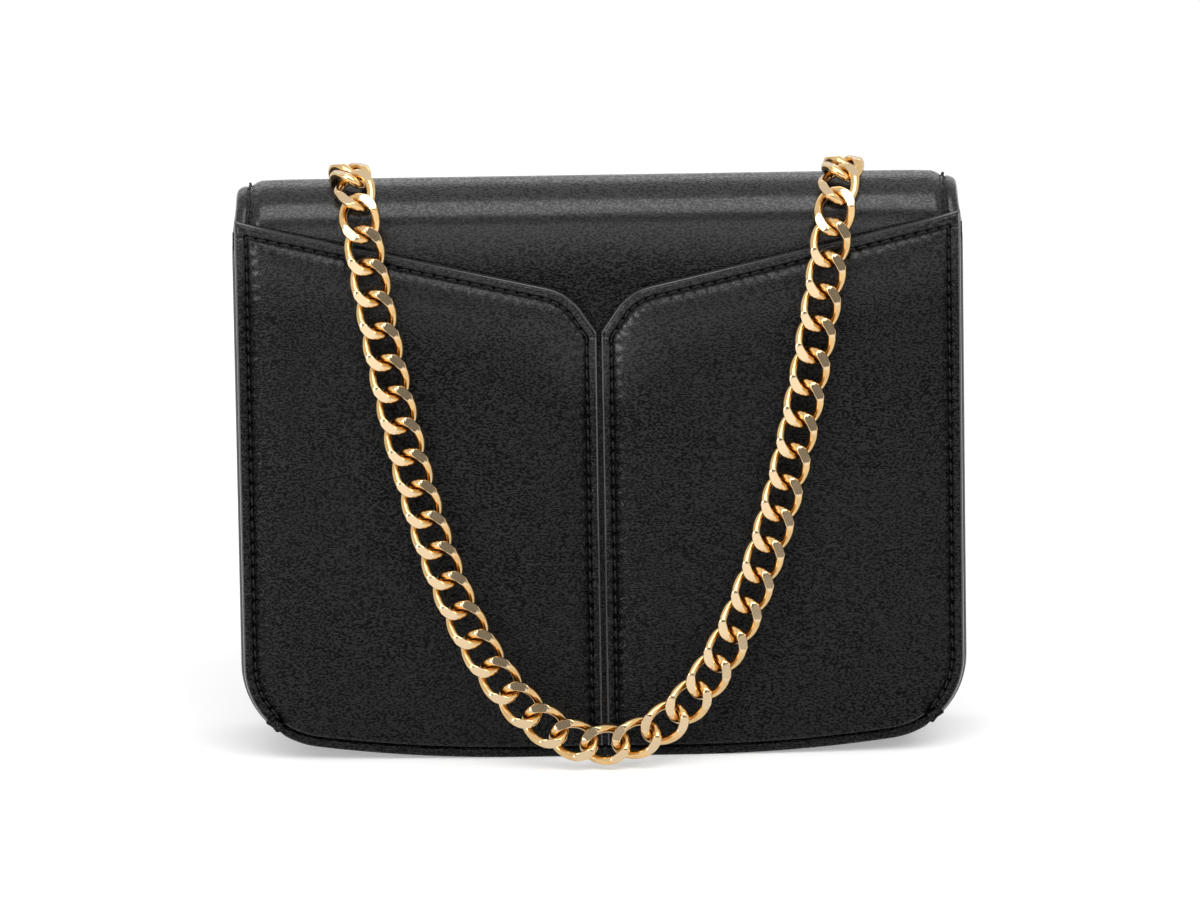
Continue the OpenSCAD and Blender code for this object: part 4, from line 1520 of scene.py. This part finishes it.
@dataclass
class Base:
    """Base band with its rolled edges, the two gussets and the corner tabs."""

    form: BagForm
    proud: float = 1.2
    roll_sides: int = 14
    band_steps: int = 140
    band_end: float = 0.6
    wall: float = 1.2
    bow: float = 1.0
    bow_margin: float = 5.0
    bend: float = 1.1
    tip: float = 0.2
    play: float = 0.05
    lining_rise: float = 0.6
    board_reach: float = 79.0
    foot_lap: float = 3.0
    rear_tab: float = 3.3
    front_tab: float = 1.8
    rear_tab_middle: float = -0.2
    front_tab_sink: float = 0.3
    tab_turn: float = 3.0
    tab_lap: float = 0.4
    tab_pinch: float = 0.22
    tab_proud: float = 0.25
    tab_lower: float = 0.15

    def band(self) -> Solid:
        """The band: a flat loop whose two long sides are half rounds, carried along the base.

        A section point (y, depth) lands at the outline's point + depth * inward normal. The half round
        at each side has the radius band / 2 and its centre that far inside the band's side.

        Returns:
            The solid.
        """
        form = self.form
        half = form.half_base(0.0, 0.0)
        limit = np.interp(form.band_reach, half[:, 0], np.arange(len(half)))
        half = np.concatenate([half[: int(limit) + 1], [self.point_at(half, limit)]])
        line = along(mirrored(half), np.linspace(0, 1, self.band_steps))
        radius = form.band_height / 2
        first, last = -self.proud + radius, form.depth + self.proud - radius
        rear = arc((first, radius), radius, 270, 90, self.roll_sides)
        front = arc((last, radius), radius, 90, -90, self.roll_sides)
        section = np.concatenate([rear, front])
        gap = np.minimum(np.arange(len(line)), np.arange(len(line))[::-1])
        ends = self.band_end + (1 - self.band_end) * np.sqrt(np.clip(gap / 2.0, 0, 1))
        return self.bent_tube(line, section[:, 0], radius + (section[:, 1] - radius) * ends[:, None])

    @staticmethod
    def bent_tube(line: Array, y: Array, depth: Array, side: int = 1) -> Solid:
        """A tube along the base's outline through rings of points at y and depth inside it.

        Args:
            line: The outline's points, one for each ring.
            y: The points' places from rear to front.
            depth: Their depths inside the outline, as (rings, points).
            side: -1 to mirror it to the left.

        Returns:
            The solid.
        """
        place = line[:, None] + leftward(np.gradient(line, axis=0))[:, None] * depth[..., None]
        return tube_solid(grid(place[..., 0] * side, y, place[..., 1]), closed=False)

    @staticmethod
    def point_at(line: Array, place: float) -> Array:
        """Point of a polyline at a fractional index."""
        low = int(place)
        return line[low] + (place - low) * (line[low + 1] - line[low])

    def tab(self, side: Side, rear: bool) -> Solid:
        """A corner tab: a short round strap that closes the seam between the band and the side strip.

        It is a bent tube along the corner's round, pinched in its middle by 1 - pinch cos^2.

        Args:
            side: Left or right.
            rear: Whether it is on the rear face.

        Returns:
            The solid.
        """
        form = self.form
        half = form.half_base(0.0, form.corner_cut + self.tab_turn)
        start = np.interp(form.band_reach - self.tab_lap, half[:, 0], runs(half))
        run = np.linspace(start, runs(half)[-1], 18)
        line = along(half, run / runs(half)[-1])
        t = np.linspace(-1, 1, len(line))[:, None]
        waist = 1 - self.tab_pinch * np.cos(t * math.pi / 2) ** 2
        pinch = waist * np.sqrt(1 - 0.75 * t**8)
        height = form.band_height / 2 + self.tab_proud
        middle, reach = self.rear_tab_middle, self.rear_tab
        if not rear:
            middle, reach = form.depth - self.front_tab_sink, self.front_tab
        angle = np.linspace(0, 2 * math.pi, 20, endpoint=False)
        side_ways, up_ways = (np.sign(v) * np.abs(v) ** 0.6 for v in (np.cos(angle), np.sin(angle)))
        depth = height + up_ways * height * pinch - self.tab_lower
        return self.bent_tube(line, middle + side_ways * reach * pinch, depth, side.value)

    def gusset(self, side: Side) -> Solid:
        """A gusset: a leather wall between two flanges, carried down the side and round the corner.

        Its section runs in along the rear flange, round a bend, along the wall, which bows by
        bow * sin(pi share of its depth), and out along the front flange. Its upper end follows the side
        view below the flap.

        Args:
            side: Left or right.

        Returns:
            The solid.
        """
        form, bend, into = self.form, self.bend, self.form.seam
        rear, front = form.leather + self.play, form.depth - form.leather - self.play
        flange = np.array([[rear, self.tip], [rear, into - bend - self.wall / 2]])
        first = arc((rear + bend, into - bend), bend, 180, 90, 5)
        wall_y = np.linspace(rear + bend, front - bend, 40)[1:-1]
        wall = np.stack([wall_y, np.full(len(wall_y), into)], 1)
        last = arc((front - bend, into - bend), bend, 90, 0, 5)
        back = np.array([[front, into - bend - self.wall / 2], [front, self.tip]])
        section = np.concatenate([flange, first, wall, last, back])
        share = (section[:, 0] - self.bow_margin) / (form.depth - 2 * self.bow_margin)
        section[:, 1] -= self.bow * np.sin(math.pi * np.clip(share, 0, 1))
        section = along(section, stations(runs(section)[-1], fine=0.5, coarse=1.6, reach=4.0))
        inward = section + leftward(np.gradient(section, axis=0)) * self.wall
        return sheet_solid(*(self.carried(edge, side) for edge in (section, inward)))

    def carried(self, section: Array, side: Side) -> Array:
        """Points of a gusset's section (y, inset) carried from its foot to its upper end."""
        form = self.form
        top = self.top_under_flap(section[:, 0])
        half = form.half_base(0.0, 0.0)
        whole = runs(half)[-1]
        start = np.interp(self.board_reach - self.foot_lap, half[:, 0], runs(half))
        foot = whole - start
        rows = stations(150.0, fine=1.2, coarse=3.0, reach=40.0)
        run = rows[:, None] * (foot + top - form.corner_centre[1])
        on_round = np.clip(run, 0, foot) + start

        def at(ahead: float) -> Array:
            """Points of the base's line a step ahead of each run on it."""
            shares = np.clip((on_round + ahead) / whole, 0, 1)
            return along(half, shares.ravel()).reshape(*run.shape, 2)

        place = at(0.0) + leftward(at(self.play) - at(-self.play)) * section[None, :, 1:]
        return grid(place[..., 0] * side.value, section[:, 0], place[..., 1] + np.maximum(run - foot, 0.0))

    def top_under_flap(self, y: Array) -> Array:
        """Height of the side view's inner line under the flap at depths y."""
        form = self.form
        run = np.linspace(form.crest_centre[1], form.front_run, 400)
        point, normal = form.side_view(run)
        under = point - (form.flap_thickness + self.lining_rise) * normal
        order = np.argsort(under[:, 0])
        return np.interp(y, under[order, 0], under[order, 1])

    def build(self, shop: Workshop) -> None:
        """Make the band, the tabs and the gussets."""
        wardrobe = shop.wardrobe
        band = shop.put("base_band", self.band(), [wardrobe.plain])
        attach(band, "shell")
        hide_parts("bottom_panel")
        tabs = joined([self.tab(side, rear) for side in Side for rear in (True, False)])
        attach(shop.put("corner_tabs", tabs, [wardrobe.plain]), "shell")
        for side in Side:
            skins = [wardrobe.plain, *wardrobe.skins[1:]]
            piece = shop.put(f"gusset_leather_{side.word}", self.gusset(side), skins)
            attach(piece, "shell")
            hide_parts(f"gusset_{side.word}")


@dataclass
class Interior:
    """Lining of the compartment and the slip pocket inside."""

    form: BagForm
    foam: float = 0.7
    cloth: float = 0.6
    wall_inset: float = 5.85
    foot_lap: float = 0.5
    hinge_clear: float = 0.6
    play: float = 0.05
    across: int = 90
    up: int = 70
    pocket_width: float = 120.0
    pocket_height: float = 72.0
    pocket_base: float = 32.0
    pocket_leather: float = 0.8
    pocket_gap: float = 1.0
    pocket_ease: float = 6.0

    def flat_sheet(self, near: float, far: float, top: float) -> Solid:
        """A lining sheet in the front view between two depths, up to a height."""
        form = self.form
        low = mirrored(form.half_base(self.wall_inset, form.corner_cut))
        right = form.right_side(self.wall_inset, top)
        shares = np.linspace(0, 1, self.across), np.linspace(0, 1, self.up)
        flat = patch(low, rung(right, -1), right * FLIP, right, *shares)
        return sheet_solid(*(grid(flat[..., 0], y, flat[..., 1]) for y in (near, far)))

    def wrapped_sheet(self) -> Solid:
        """The lining behind the rear board and under the crest, up to the hinge."""
        form = self.form
        width = form.half_width - self.wall_inset
        depth = form.leather + form.board
        run = np.linspace(form.corner_centre[1], form.hinge_run - self.hinge_clear, 110)
        flat = grid(np.linspace(-width, width, self.across), run[:, None])
        lifts = (np.full(flat.shape[:2], -d) for d in (depth, depth + self.cloth))
        return sheet_solid(*(form.wrapped(flat, lift) for lift in lifts))

    def wall(self) -> Solid:
        """The lining of the floor and both sides: the base's outline, moved in, from front to rear."""
        form = self.form
        first = form.leather + form.board + self.cloth
        last = form.depth - first - self.foam
        y = np.linspace(first, last, 24)
        tops = Base(form).top_under_flap(y) - self.cloth
        faces = []
        for inset in (self.wall_inset, self.wall_inset + self.cloth):
            half = form.half_base(inset, 0.0)
            bottom = along(half, np.linspace(0, 1, self.across))
            up = np.linspace(0, 1, 50)[1:, None]
            wall = grid(form.half_width - inset, y, bottom[-1, 1] + up * (tops - bottom[-1, 1]))
            right = np.concatenate([grid(bottom[:, None, 0], y, bottom[:, None, 1]), wall])
            faces.append(np.concatenate([right[:0:-1] * Side.LEFT.flip, right]))
        return sheet_solid(*faces)

    def pocket(self) -> Panel:
        """The slip pocket inside, sewn at its sides and foot, open along its top."""
        half = self.pocket_width / 2
        right = np.array([[half, self.pocket_base], [half, self.pocket_base + self.pocket_height]])
        back = self.form.leather + self.form.board + self.cloth
        sewn = Finish(margin=2.0, bead=0.7, roll=0.3, groove=0.25, swell=3.0)

        def lay(flat: Array, lift: Array) -> Array:
            """Front view's point, at the pocket's depth plus the lift, looking forwards."""
            hold = ease(self.edge_gap(flat), 0.0, self.pocket_ease)
            depth = back + self.pocket_leather + self.pocket_gap * hold + lift
            return grid(flat[..., 0], depth, flat[..., 1])

        return Panel(
            rung(right, 0), rung(right, -1), right * FLIP, right,
            (sewn, Finish(margin=2.4, bead=0.8, roll=0.3, groove=0.25), sewn, sewn),
            lay=lay, thickness=even(self.pocket_leather - self.play), fine=0.5, coarse=3.0,
        )

    def edge_gap(self, flat: Array) -> Array:
        """Gap to the nearest sewn side or the foot of the slip pocket."""
        side = self.pocket_width / 2 - np.abs(flat[..., 0])
        return np.minimum(side, flat[..., 1] - self.pocket_base)

    def build(self, shop: Workshop) -> None:
        """Make the lining and the slip pocket."""
        form = self.form
        back = form.leather + form.board
        front = form.depth - form.leather - form.board - self.foam
        foot = self.flat_sheet(back, back + self.cloth, form.corner_centre[1] + self.foot_lap)
        ahead = self.flat_sheet(front - self.cloth, front, form.ridge_centre[1])
        sheets = joined([foot, self.wrapped_sheet(), ahead, self.wall()])
        piece = shop.put("compartment_lining", sheets, [shop.wardrobe.cloth])
        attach(piece, "shell")
        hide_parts("lining")
        panel = self.pocket()
        piece = shop.put("slip_pocket_leather", panel.solid(), shop.wardrobe.skins)
        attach(piece, "shell")
        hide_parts("inner_pocket")
        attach(shop.sew("slip_pocket_stitches", [panel]), "shell")


@dataclass
class Chain:
    """The curb chain: its hanging curve, its turn over the crest, its links and its end eyes."""

    form: BagForm
    pitch: float = 9.35
    length_share: float = 0.6524
    width_share: float = 0.5027
    wave_share: float = 0.1925
    wire_share: float = 0.2674
    flat_share: float = 0.246
    hang_share: float = 0.1238
    lean: float = 4.5
    turn_ease: float = 1.1
    seat: float = 0.6
    clear: float = 0.3
    pocket_stack: float = 4.4
    pin_back: float = 5.2
    pin_rise: float = 2.7
    barrel_radius: float = 1.75
    barrel_share: float = 0.851
    barrel_sink: float = 1.3
    bore_radius: float = 0.98
    soft: float = 0.3
    facet_tilt: float = 0.1
    chamfer: float = 0.16
    fullness: float = 1.1
    rings: int = 96
    side_steps: int = 8

    @property
    def half_length(self) -> float:
        """Half length of a link's wire line."""
        return self.pitch * self.length_share

    @property
    def wire_radius(self) -> float:
        """Radius of a link's wire, which grinding and rolling have made a little fuller than drawn."""
        return self.pitch * self.wire_share / 2 * self.fullness

    @property
    def flat(self) -> float:
        """Height of a link's ground flats."""
        return self.pitch * self.flat_share

    @property
    def hang_radius(self) -> float:
        """Parameter of the hanging curve."""
        return 2 * self.form.half_width * self.hang_share

    @property
    def turn_radius(self) -> float:
        """Radius of the turn over the crest."""
        return self.form.crest_radius + self.seat + self.flat + self.turn_ease

    @property
    def turn_start(self) -> Array:
        """Where the hanging chain passes into the turn, as (y, z)."""
        y = -(self.pocket_stack + self.flat + self.clear)
        sink = self.turn_radius * (1 - math.sin(math.radians(self.lean)))
        return np.array([y, self.form.height + self.seat + self.flat - sink])

    @property
    def turn_centre(self) -> Array:
        """Centre of the turn over the crest."""
        lean = math.radians(self.lean)
        return self.turn_start + self.turn_radius * np.array([math.cos(lean), -math.sin(lean)])

    @property
    def count(self) -> int:
        """Number of hanging links above the lowest, on each side."""
        half_width = self.pitch * (self.width_share + self.wire_share / 2)
        room = (self.turn_start[1] - half_width - self.clear) / math.cos(math.radians(self.lean))
        reach = math.sqrt((room + self.hang_radius) ** 2 - self.hang_radius**2)
        return int(reach / self.pitch - 0.5)

    def hang_height(self, run: float) -> float:
        """Height of the hanging curve above its lowest point: sqrt(a^2 + s^2) - a."""
        return math.hypot(self.hang_radius, run) - self.hang_radius

    def point(self, number: float) -> Array:
        """Hinge point of the right strand, counted in pitches from the middle of the lowest link.

        The hanging part is x = a asinh(s / a) in a plane that leans back, and beyond it the chain goes
        on by the same rule, wound on the turn's cylinder.

        Args:
            number: Count of pitches.

        Returns:
            The point (x, y, z).
        """
        run = number * self.pitch
        x = self.hang_radius * math.asinh(run / self.hang_radius)
        full = self.hang_height((self.count + 0.5) * self.pitch)
        lean = math.radians(self.lean)
        if number <= self.count + 0.5:
            left = full - self.hang_height(run)
            y = self.turn_start[0] - left * math.sin(lean)
            return np.array([x, y, self.turn_start[1] - left * math.cos(lean)])
        angle = math.pi - lean - (self.hang_height(run) - full) / self.turn_radius
        way = np.array([math.cos(angle), math.sin(angle)])
        return np.array([x, *(self.turn_centre + self.turn_radius * way)])

    def section_angles(self, low: Array, high: Array, top: Array) -> Array:
        """Angles of a wire section's points for every ring.

        Each ring has a cut, or room for one, at its top and at its foot. Its points are the two sides
        of each chamfer and even steps along both flanks.

        Args:
            low: First angle of the cut.
            high: Last angle of the cut.
            top: Whether the cut is at the top.

        Returns:
            Angles as (rings, points).
        """
        least = math.radians(8.0)
        half = np.maximum((high - low) / 2, least)
        middle = np.where(half > least, (high + low) / 2, np.where(top, math.pi / 2, -math.pi / 2))
        up_mid = np.where(top, middle, math.pi / 2)
        up_half = np.where(top, half, least)
        down_mid = np.where(top, -math.pi / 2, middle)
        down_half = np.where(top, least, half)
        step = self.chamfer / self.wire_radius
        marks = []
        for mid, reach in ((up_mid, up_half), (down_mid + 2 * math.pi, down_half)):
            edge = np.minimum(step, reach / 2)
            marks.append([mid - reach - edge, mid - reach + edge, mid + reach - edge, mid + reach + edge])
        steps = np.linspace(0, 1, self.side_steps + 1)[1:-1]
        first = [marks[0][3] + s * (marks[1][0] - marks[0][3]) for s in steps]
        second = [marks[1][3] + s * (marks[0][0] + 2 * math.pi - marks[1][3]) for s in steps]
        return np.stack([*marks[0], *first, *marks[1], *second], 1)

    def link(self, half_length: float) -> Solid:
        """One link about the origin, along x, with ground facets on its faces at +z and -z.

        The wire's line is (l cos t, b sin t, -h sin 2t). Its section is a circle of the wire's radius,
        and what stands above a facet's plane, w = flat - tilt * (outward reach - facet's own reach), is
        ground away: A sin p + B cos p = C gives the section angles at which the plane cuts the wire.

        Args:
            half_length: Half length of the wire's line.

        Returns:
            The link, with the ground faces marked.
        """
        wire = self.wire_radius
        width, wave = self.pitch * self.width_share, self.pitch * self.wave_share
        t = np.linspace(0, 2 * math.pi, self.rings, endpoint=False) + math.pi / self.rings
        line = np.stack([half_length * np.cos(t), width * np.sin(t), -wave * np.sin(2 * t)], 1)
        ahead = np.stack([-half_length * np.sin(t), width * np.cos(t), -2 * wave * np.cos(2 * t)], 1)
        beside = normed(np.cross(ahead, [0.0, 0.0, 1.0]))
        above = normed(np.cross(beside, ahead))
        top = line[:, 2] > 0
        sign = np.where(top, 1.0, -1.0)
        way = np.stack([-sign, np.ones(len(t))], 1) / math.sqrt(2)
        way *= np.sign((way * line[:, :2]).sum(1))[:, None]
        own = (half_length + width) / 2
        a = wire * (above[:, 2] * sign + self.facet_tilt * (way * above[:, :2]).sum(1))
        b = wire * self.facet_tilt * (way * beside[:, :2]).sum(1)
        reach = (way * line[:, :2]).sum(1)
        c = self.flat - self.facet_tilt * (reach - own) - line[:, 2] * sign
        size = np.hypot(a, b)
        phase = np.arctan2(b, a)
        cut = np.arcsin(np.clip(c / size, -1, 1))
        start, end = cut - phase, math.pi - cut - phase
        first = np.minimum(start, end)
        low = np.where(top, start, first - 2 * math.pi * (first > 0))
        high = np.where(top, end, low + np.abs(end - start))
        angle = self.section_angles(low, high, top)
        point = (
            line[:, None]
            + wire * np.cos(angle)[..., None] * beside[:, None]
            + wire * np.sin(angle)[..., None] * above[:, None]
        )
        out = (point[..., :2] * way[:, None]).sum(2)
        limit = self.flat - self.facet_tilt * (out - own)
        over = point[..., 2] * sign[:, None] > limit - 1e-4
        point[..., 2] = np.where(over, limit * sign[:, None], point[..., 2])
        return tube_solid(point, closed=True, marks={"ground": over.astype(float)})

    def placed(self, unit: Solid, start: Array, end: Array, middle: Array | None = None) -> Solid:
        """A link carried between two hinge points, its facets square to the chain's path in side view."""
        ahead = (end - start) / np.linalg.norm(end - start)
        out = np.cross([1.0, 0.0, 0.0], ahead)
        lean = math.radians(self.lean)
        if np.linalg.norm(out) < 1e-9:
            out = np.array([0.0, -math.cos(lean), math.sin(lean)])
        out /= np.linalg.norm(out)
        turn = np.stack([ahead, np.cross(out, ahead), out], 1)
        place = (start + end) / 2 if middle is None else middle
        return Solid(unit.points @ turn.T + place, unit.faces, unit.surfaces, unit.marks)

    def strand_link(self, unit: Solid, number: int, side: Side) -> Solid:
        """Link number of a strand, counted from the lowest."""
        ends = [self.point(number + half) * side.flip for half in (-0.5, 0.5)]
        return self.placed(unit, *ends[:: side.value])

    def pin_place(self, side: Side) -> Array:
        """Middle of a hinge pin."""
        form = self.form
        centre = form.top_centre
        y = form.hinge_depth - self.pin_back
        angle = math.acos((y - centre[0]) / form.top_radius)
        way = np.array([math.cos(angle), math.sin(angle)])
        place = centre + (form.top_radius + self.pin_rise) * way
        return np.array([side.value * self.point(self.count + 3.5)[0], *place])

    def eye(self, side: Side) -> Solid:
        """An end eye: a short link whose far end runs into a turned barrel on the hinge pin."""
        last = self.point(self.count + 3.5) * side.flip
        pin = self.pin_place(side)
        span = float(np.linalg.norm((pin - last)[1:]))
        inside = self.half_length - self.pitch / 2
        half = (span + inside - self.barrel_sink) / 2
        ahead = side.value * (pin - last) / span
        middle = last + side.value * (half - inside) * ahead
        loop = self.placed(self.link(half), middle - ahead, middle + ahead, middle)
        reach = self.pitch * self.width_share * self.barrel_share
        radius, soft, lip = self.barrel_radius, self.soft, self.soft * 0.3
        end = np.array([[radius, reach - soft], [radius - lip, reach - lip], [radius - soft, reach],
                        [self.bore_radius, reach]])
        ring = lathe(np.concatenate([end[::-1] * [1.0, -1.0], end]))[..., [2, 0, 1]] + pin
        barrel = tube_solid(ring, closed=True, marks={"ground": np.zeros(ring.shape[:2])})
        return joined([loop, barrel])

    def build(self, shop: Workshop) -> None:
        """Make all the links and both end eyes."""
        unit = self.link(self.half_length)
        skins = [shop.wardrobe.chain]
        lone = {
            "crest_link": (3, "chain_crest"),
            "ridge_link_upper": (2, "chain_ridge_upper"),
            "ridge_link_lower": (1, "chain_ridge_lower"),
        }

        def make(name: str, solid: Solid, body: str, node: str) -> None:
            """Put one piece of the chain on its body, in its node's stead."""
            piece = shop.put(name, solid, skins, 26.0)
            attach(piece, body)
            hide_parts(node)

        for side in Side:
            for node, (place, body) in lone.items():
                link = self.strand_link(unit, self.count + place, side)
                make(f"gold_{node}_{side.word}", link, body, f"{node}_{side.word}")
            strand = [self.strand_link(unit, n, side) for n in range(1, self.count + 1)]
            make(f"gold_links_{side.word}", joined(strand), "chain_drop", f"drop_links_{side.word}")
            make(f"gold_eye_{side.word}", self.eye(side), "chain_ends", f"chain_eye_{side.word}")
        right = self.point(0.5)
        lowest = self.placed(unit, right * Side.LEFT.flip, right)
        make("gold_lowest_link", lowest, "chain_drop", "bottom_link")


@dataclass
class Fittings:
    """The rigid parts that keep their own shape: boards, snap, brackets, pins and rivets."""

    frame: dict

    def build(self, shop: Workshop) -> None:
        """Give each kept part its material."""
        wardrobe = shop.wardrobe
        dress = {
            "board": (wardrobe.board, "back_board top_board front_board base_board flap_front_board"),
            "steel": (wardrobe.steel, "snap_socket snap_socket_washer snap_stud snap_stud_washer "
                                      "chain_backing_left chain_backing_right"),
            "gold_metal": (wardrobe.gold, "chain_bracket_left chain_bracket_right chain_rivets "
                                          "chain_pin_left chain_pin_right"),
        }
        for slot, (material, nodes) in dress.items():
            for node in nodes.split():
                piece = self.frame["nodes"][node]
                piece.data.materials.clear()
                piece.data.materials.append(material)
                LOG.info("%s: dressed", node)


# Studio


@dataclass
class Studio:
    """White floor and backdrop, soft lamps and the camera."""

    distance: float = 3.0
    elevation: float = 11.0
    roll: float = 0.9
    view_width: float = 0.3455
    aim: tuple[float, float, float] = (-0.0002, -0.0237, 0.0912)
    side_light: float = 0.47
    front_light: float = 0.18
    floor_half: float = 6.0
    near_glow: float = 0.34
    far_glow: float = 0.6

    def camera(self) -> None:
        """Camera behind the bag, slightly above it, rolled so that the bag leans as photographed.

        The lens is sensor * distance / width of the view at the pocket's face.
        """
        data = bpy.data.cameras.new("camera")
        data.sensor_width = 36.0
        data.lens = data.sensor_width * self.distance / self.view_width
        camera = added("camera", data)
        tip = math.radians(self.elevation)
        back = Vector((0.0, -math.cos(tip), math.sin(tip)))
        turn = (-back).to_track_quat("-Z", "Y").to_matrix().to_4x4()
        place = Matrix.Translation(Vector(self.aim) + back * self.distance)
        camera.matrix_world = place @ turn @ Matrix.Rotation(math.radians(-self.roll), 4, "Z")
        bpy.context.scene.camera = camera

    def ground(self) -> None:
        """Wide pale floor, lifted to white by a glow for camera and glossy rays.

        The glow grows with the distance from the bag, where the lamps give less.
        """
        half = self.floor_half
        corners = [(x * half, y * half, 0.0) for x, y in ((-1, -1), (1, -1), (1, 1), (-1, 1))]
        mesh = bpy.data.meshes.new("studio_floor")
        mesh.from_pydata(corners, [], [(0, 1, 2, 3)])
        floor = added("studio_floor", mesh)
        paint = Paint("studio_white")
        rays = paint.node("ShaderNodeLightPath")
        seen = paint.math("MAXIMUM", paint.out(rays, "Is Camera Ray"), paint.out(rays, "Is Glossy Ray"))
        x, y, _ = paint.parts(paint.place())
        far = paint.smooth(paint.math("SQRT", x * x + y * y), 0.5, 2.5)
        glow = seen * (self.near_glow + (self.far_glow - self.near_glow) * far)
        white = paint.finish(
            Base_Color=(0.9, 0.9, 0.9), Roughness=0.9, Specular_IOR_Level=0.0,
            Emission_Color=glow, Emission_Strength=1.0,
        )
        mesh.materials.append(white)

    def lamp(self, name: str, place: Sequence[float], size: tuple[float, float], power: float) -> None:
        """A soft rectangular lamp that looks at the bag."""
        data = bpy.data.lights.new(name, "AREA")
        data.shape = "RECTANGLE"
        data.size, data.size_y = size
        data.energy = power
        lamp = added(name, data)
        away = Vector(place) - Vector((0.0, 0.0, 0.08))
        turn = away.to_track_quat("Z", "Y").to_matrix().to_4x4()
        lamp.matrix_world = Matrix.Translation(Vector(place)) @ turn

    def world(self) -> None:
        """Pale light from all round, dim in a cone on the camera's side.

        With d the direction looked into and dim = ease(-d.y), it is white to the camera, white outside
        the cone to reflections, and side outside it to all else; inside it falls to front.
        """
        world = bpy.data.worlds.new("studio")
        world.use_nodes = True
        bpy.context.scene.world = world
        sky = Nodes(world.node_tree)
        coordinates = sky.node("ShaderNodeTexCoord")
        _, y, _ = sky.parts(coordinates.outputs["Generated"])
        dim = sky.smooth(y * -1.0, 0.8, 0.95)
        rays = sky.node("ShaderNodeLightPath")
        pale = self.side_light + (1.0 - self.side_light) * sky.out(rays, "Is Glossy Ray")
        light = pale - dim * (pale - self.front_light)
        sockets = {"Factor": rays.outputs["Is Camera Ray"], "A": light, "B": 1.0}
        mix = sky.node("ShaderNodeMix", None, sockets)
        background = sky.tree.nodes["Background"]
        background.inputs["Color"].default_value = (1.0, 1.0, 1.0, 1.0)
        sky.feed(background.inputs["Strength"], mix.outputs["Result"])

    def build(self) -> None:
        """Set up the camera, the ground, the lamps and the world."""
        self.camera()
        self.ground()
        self.world()
        self.lamp("front_softbox", place=(0.25, -1.2, 1.2), size=(1.7, 1.2), power=22.0)
        self.lamp("left_softbox", place=(-0.9, -1.5, 0.3), size=(0.5, 0.56), power=10.0)
        self.lamp("rear_softbox", place=(0.0, 0.9, 1.1), size=(1.6, 0.6), power=3.0)
        bpy.context.scene.view_settings.view_transform = "Standard"


def main() -> None:
    """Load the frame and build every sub-assembly in order."""
    logging.basicConfig(level=logging.INFO, format="%(name)s: %(message)s")
    for name in list(bpy.data.objects.keys()):
        bpy.data.objects.remove(bpy.data.objects[name])
    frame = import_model()
    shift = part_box("back_panel")[0].y / MM
    Studio().build()
    form = BagForm()
    shop = Workshop(shift, Wardrobe())
    sewn = RearPocket(form), Covering(form), Base(form), Interior(form)
    for part in (*sewn, Chain(form), Fittings(frame)):
        part.build(shop)
    LOG.info("%d pieces made", len(shop.pieces))


if __name__ == "__main__":
    main()
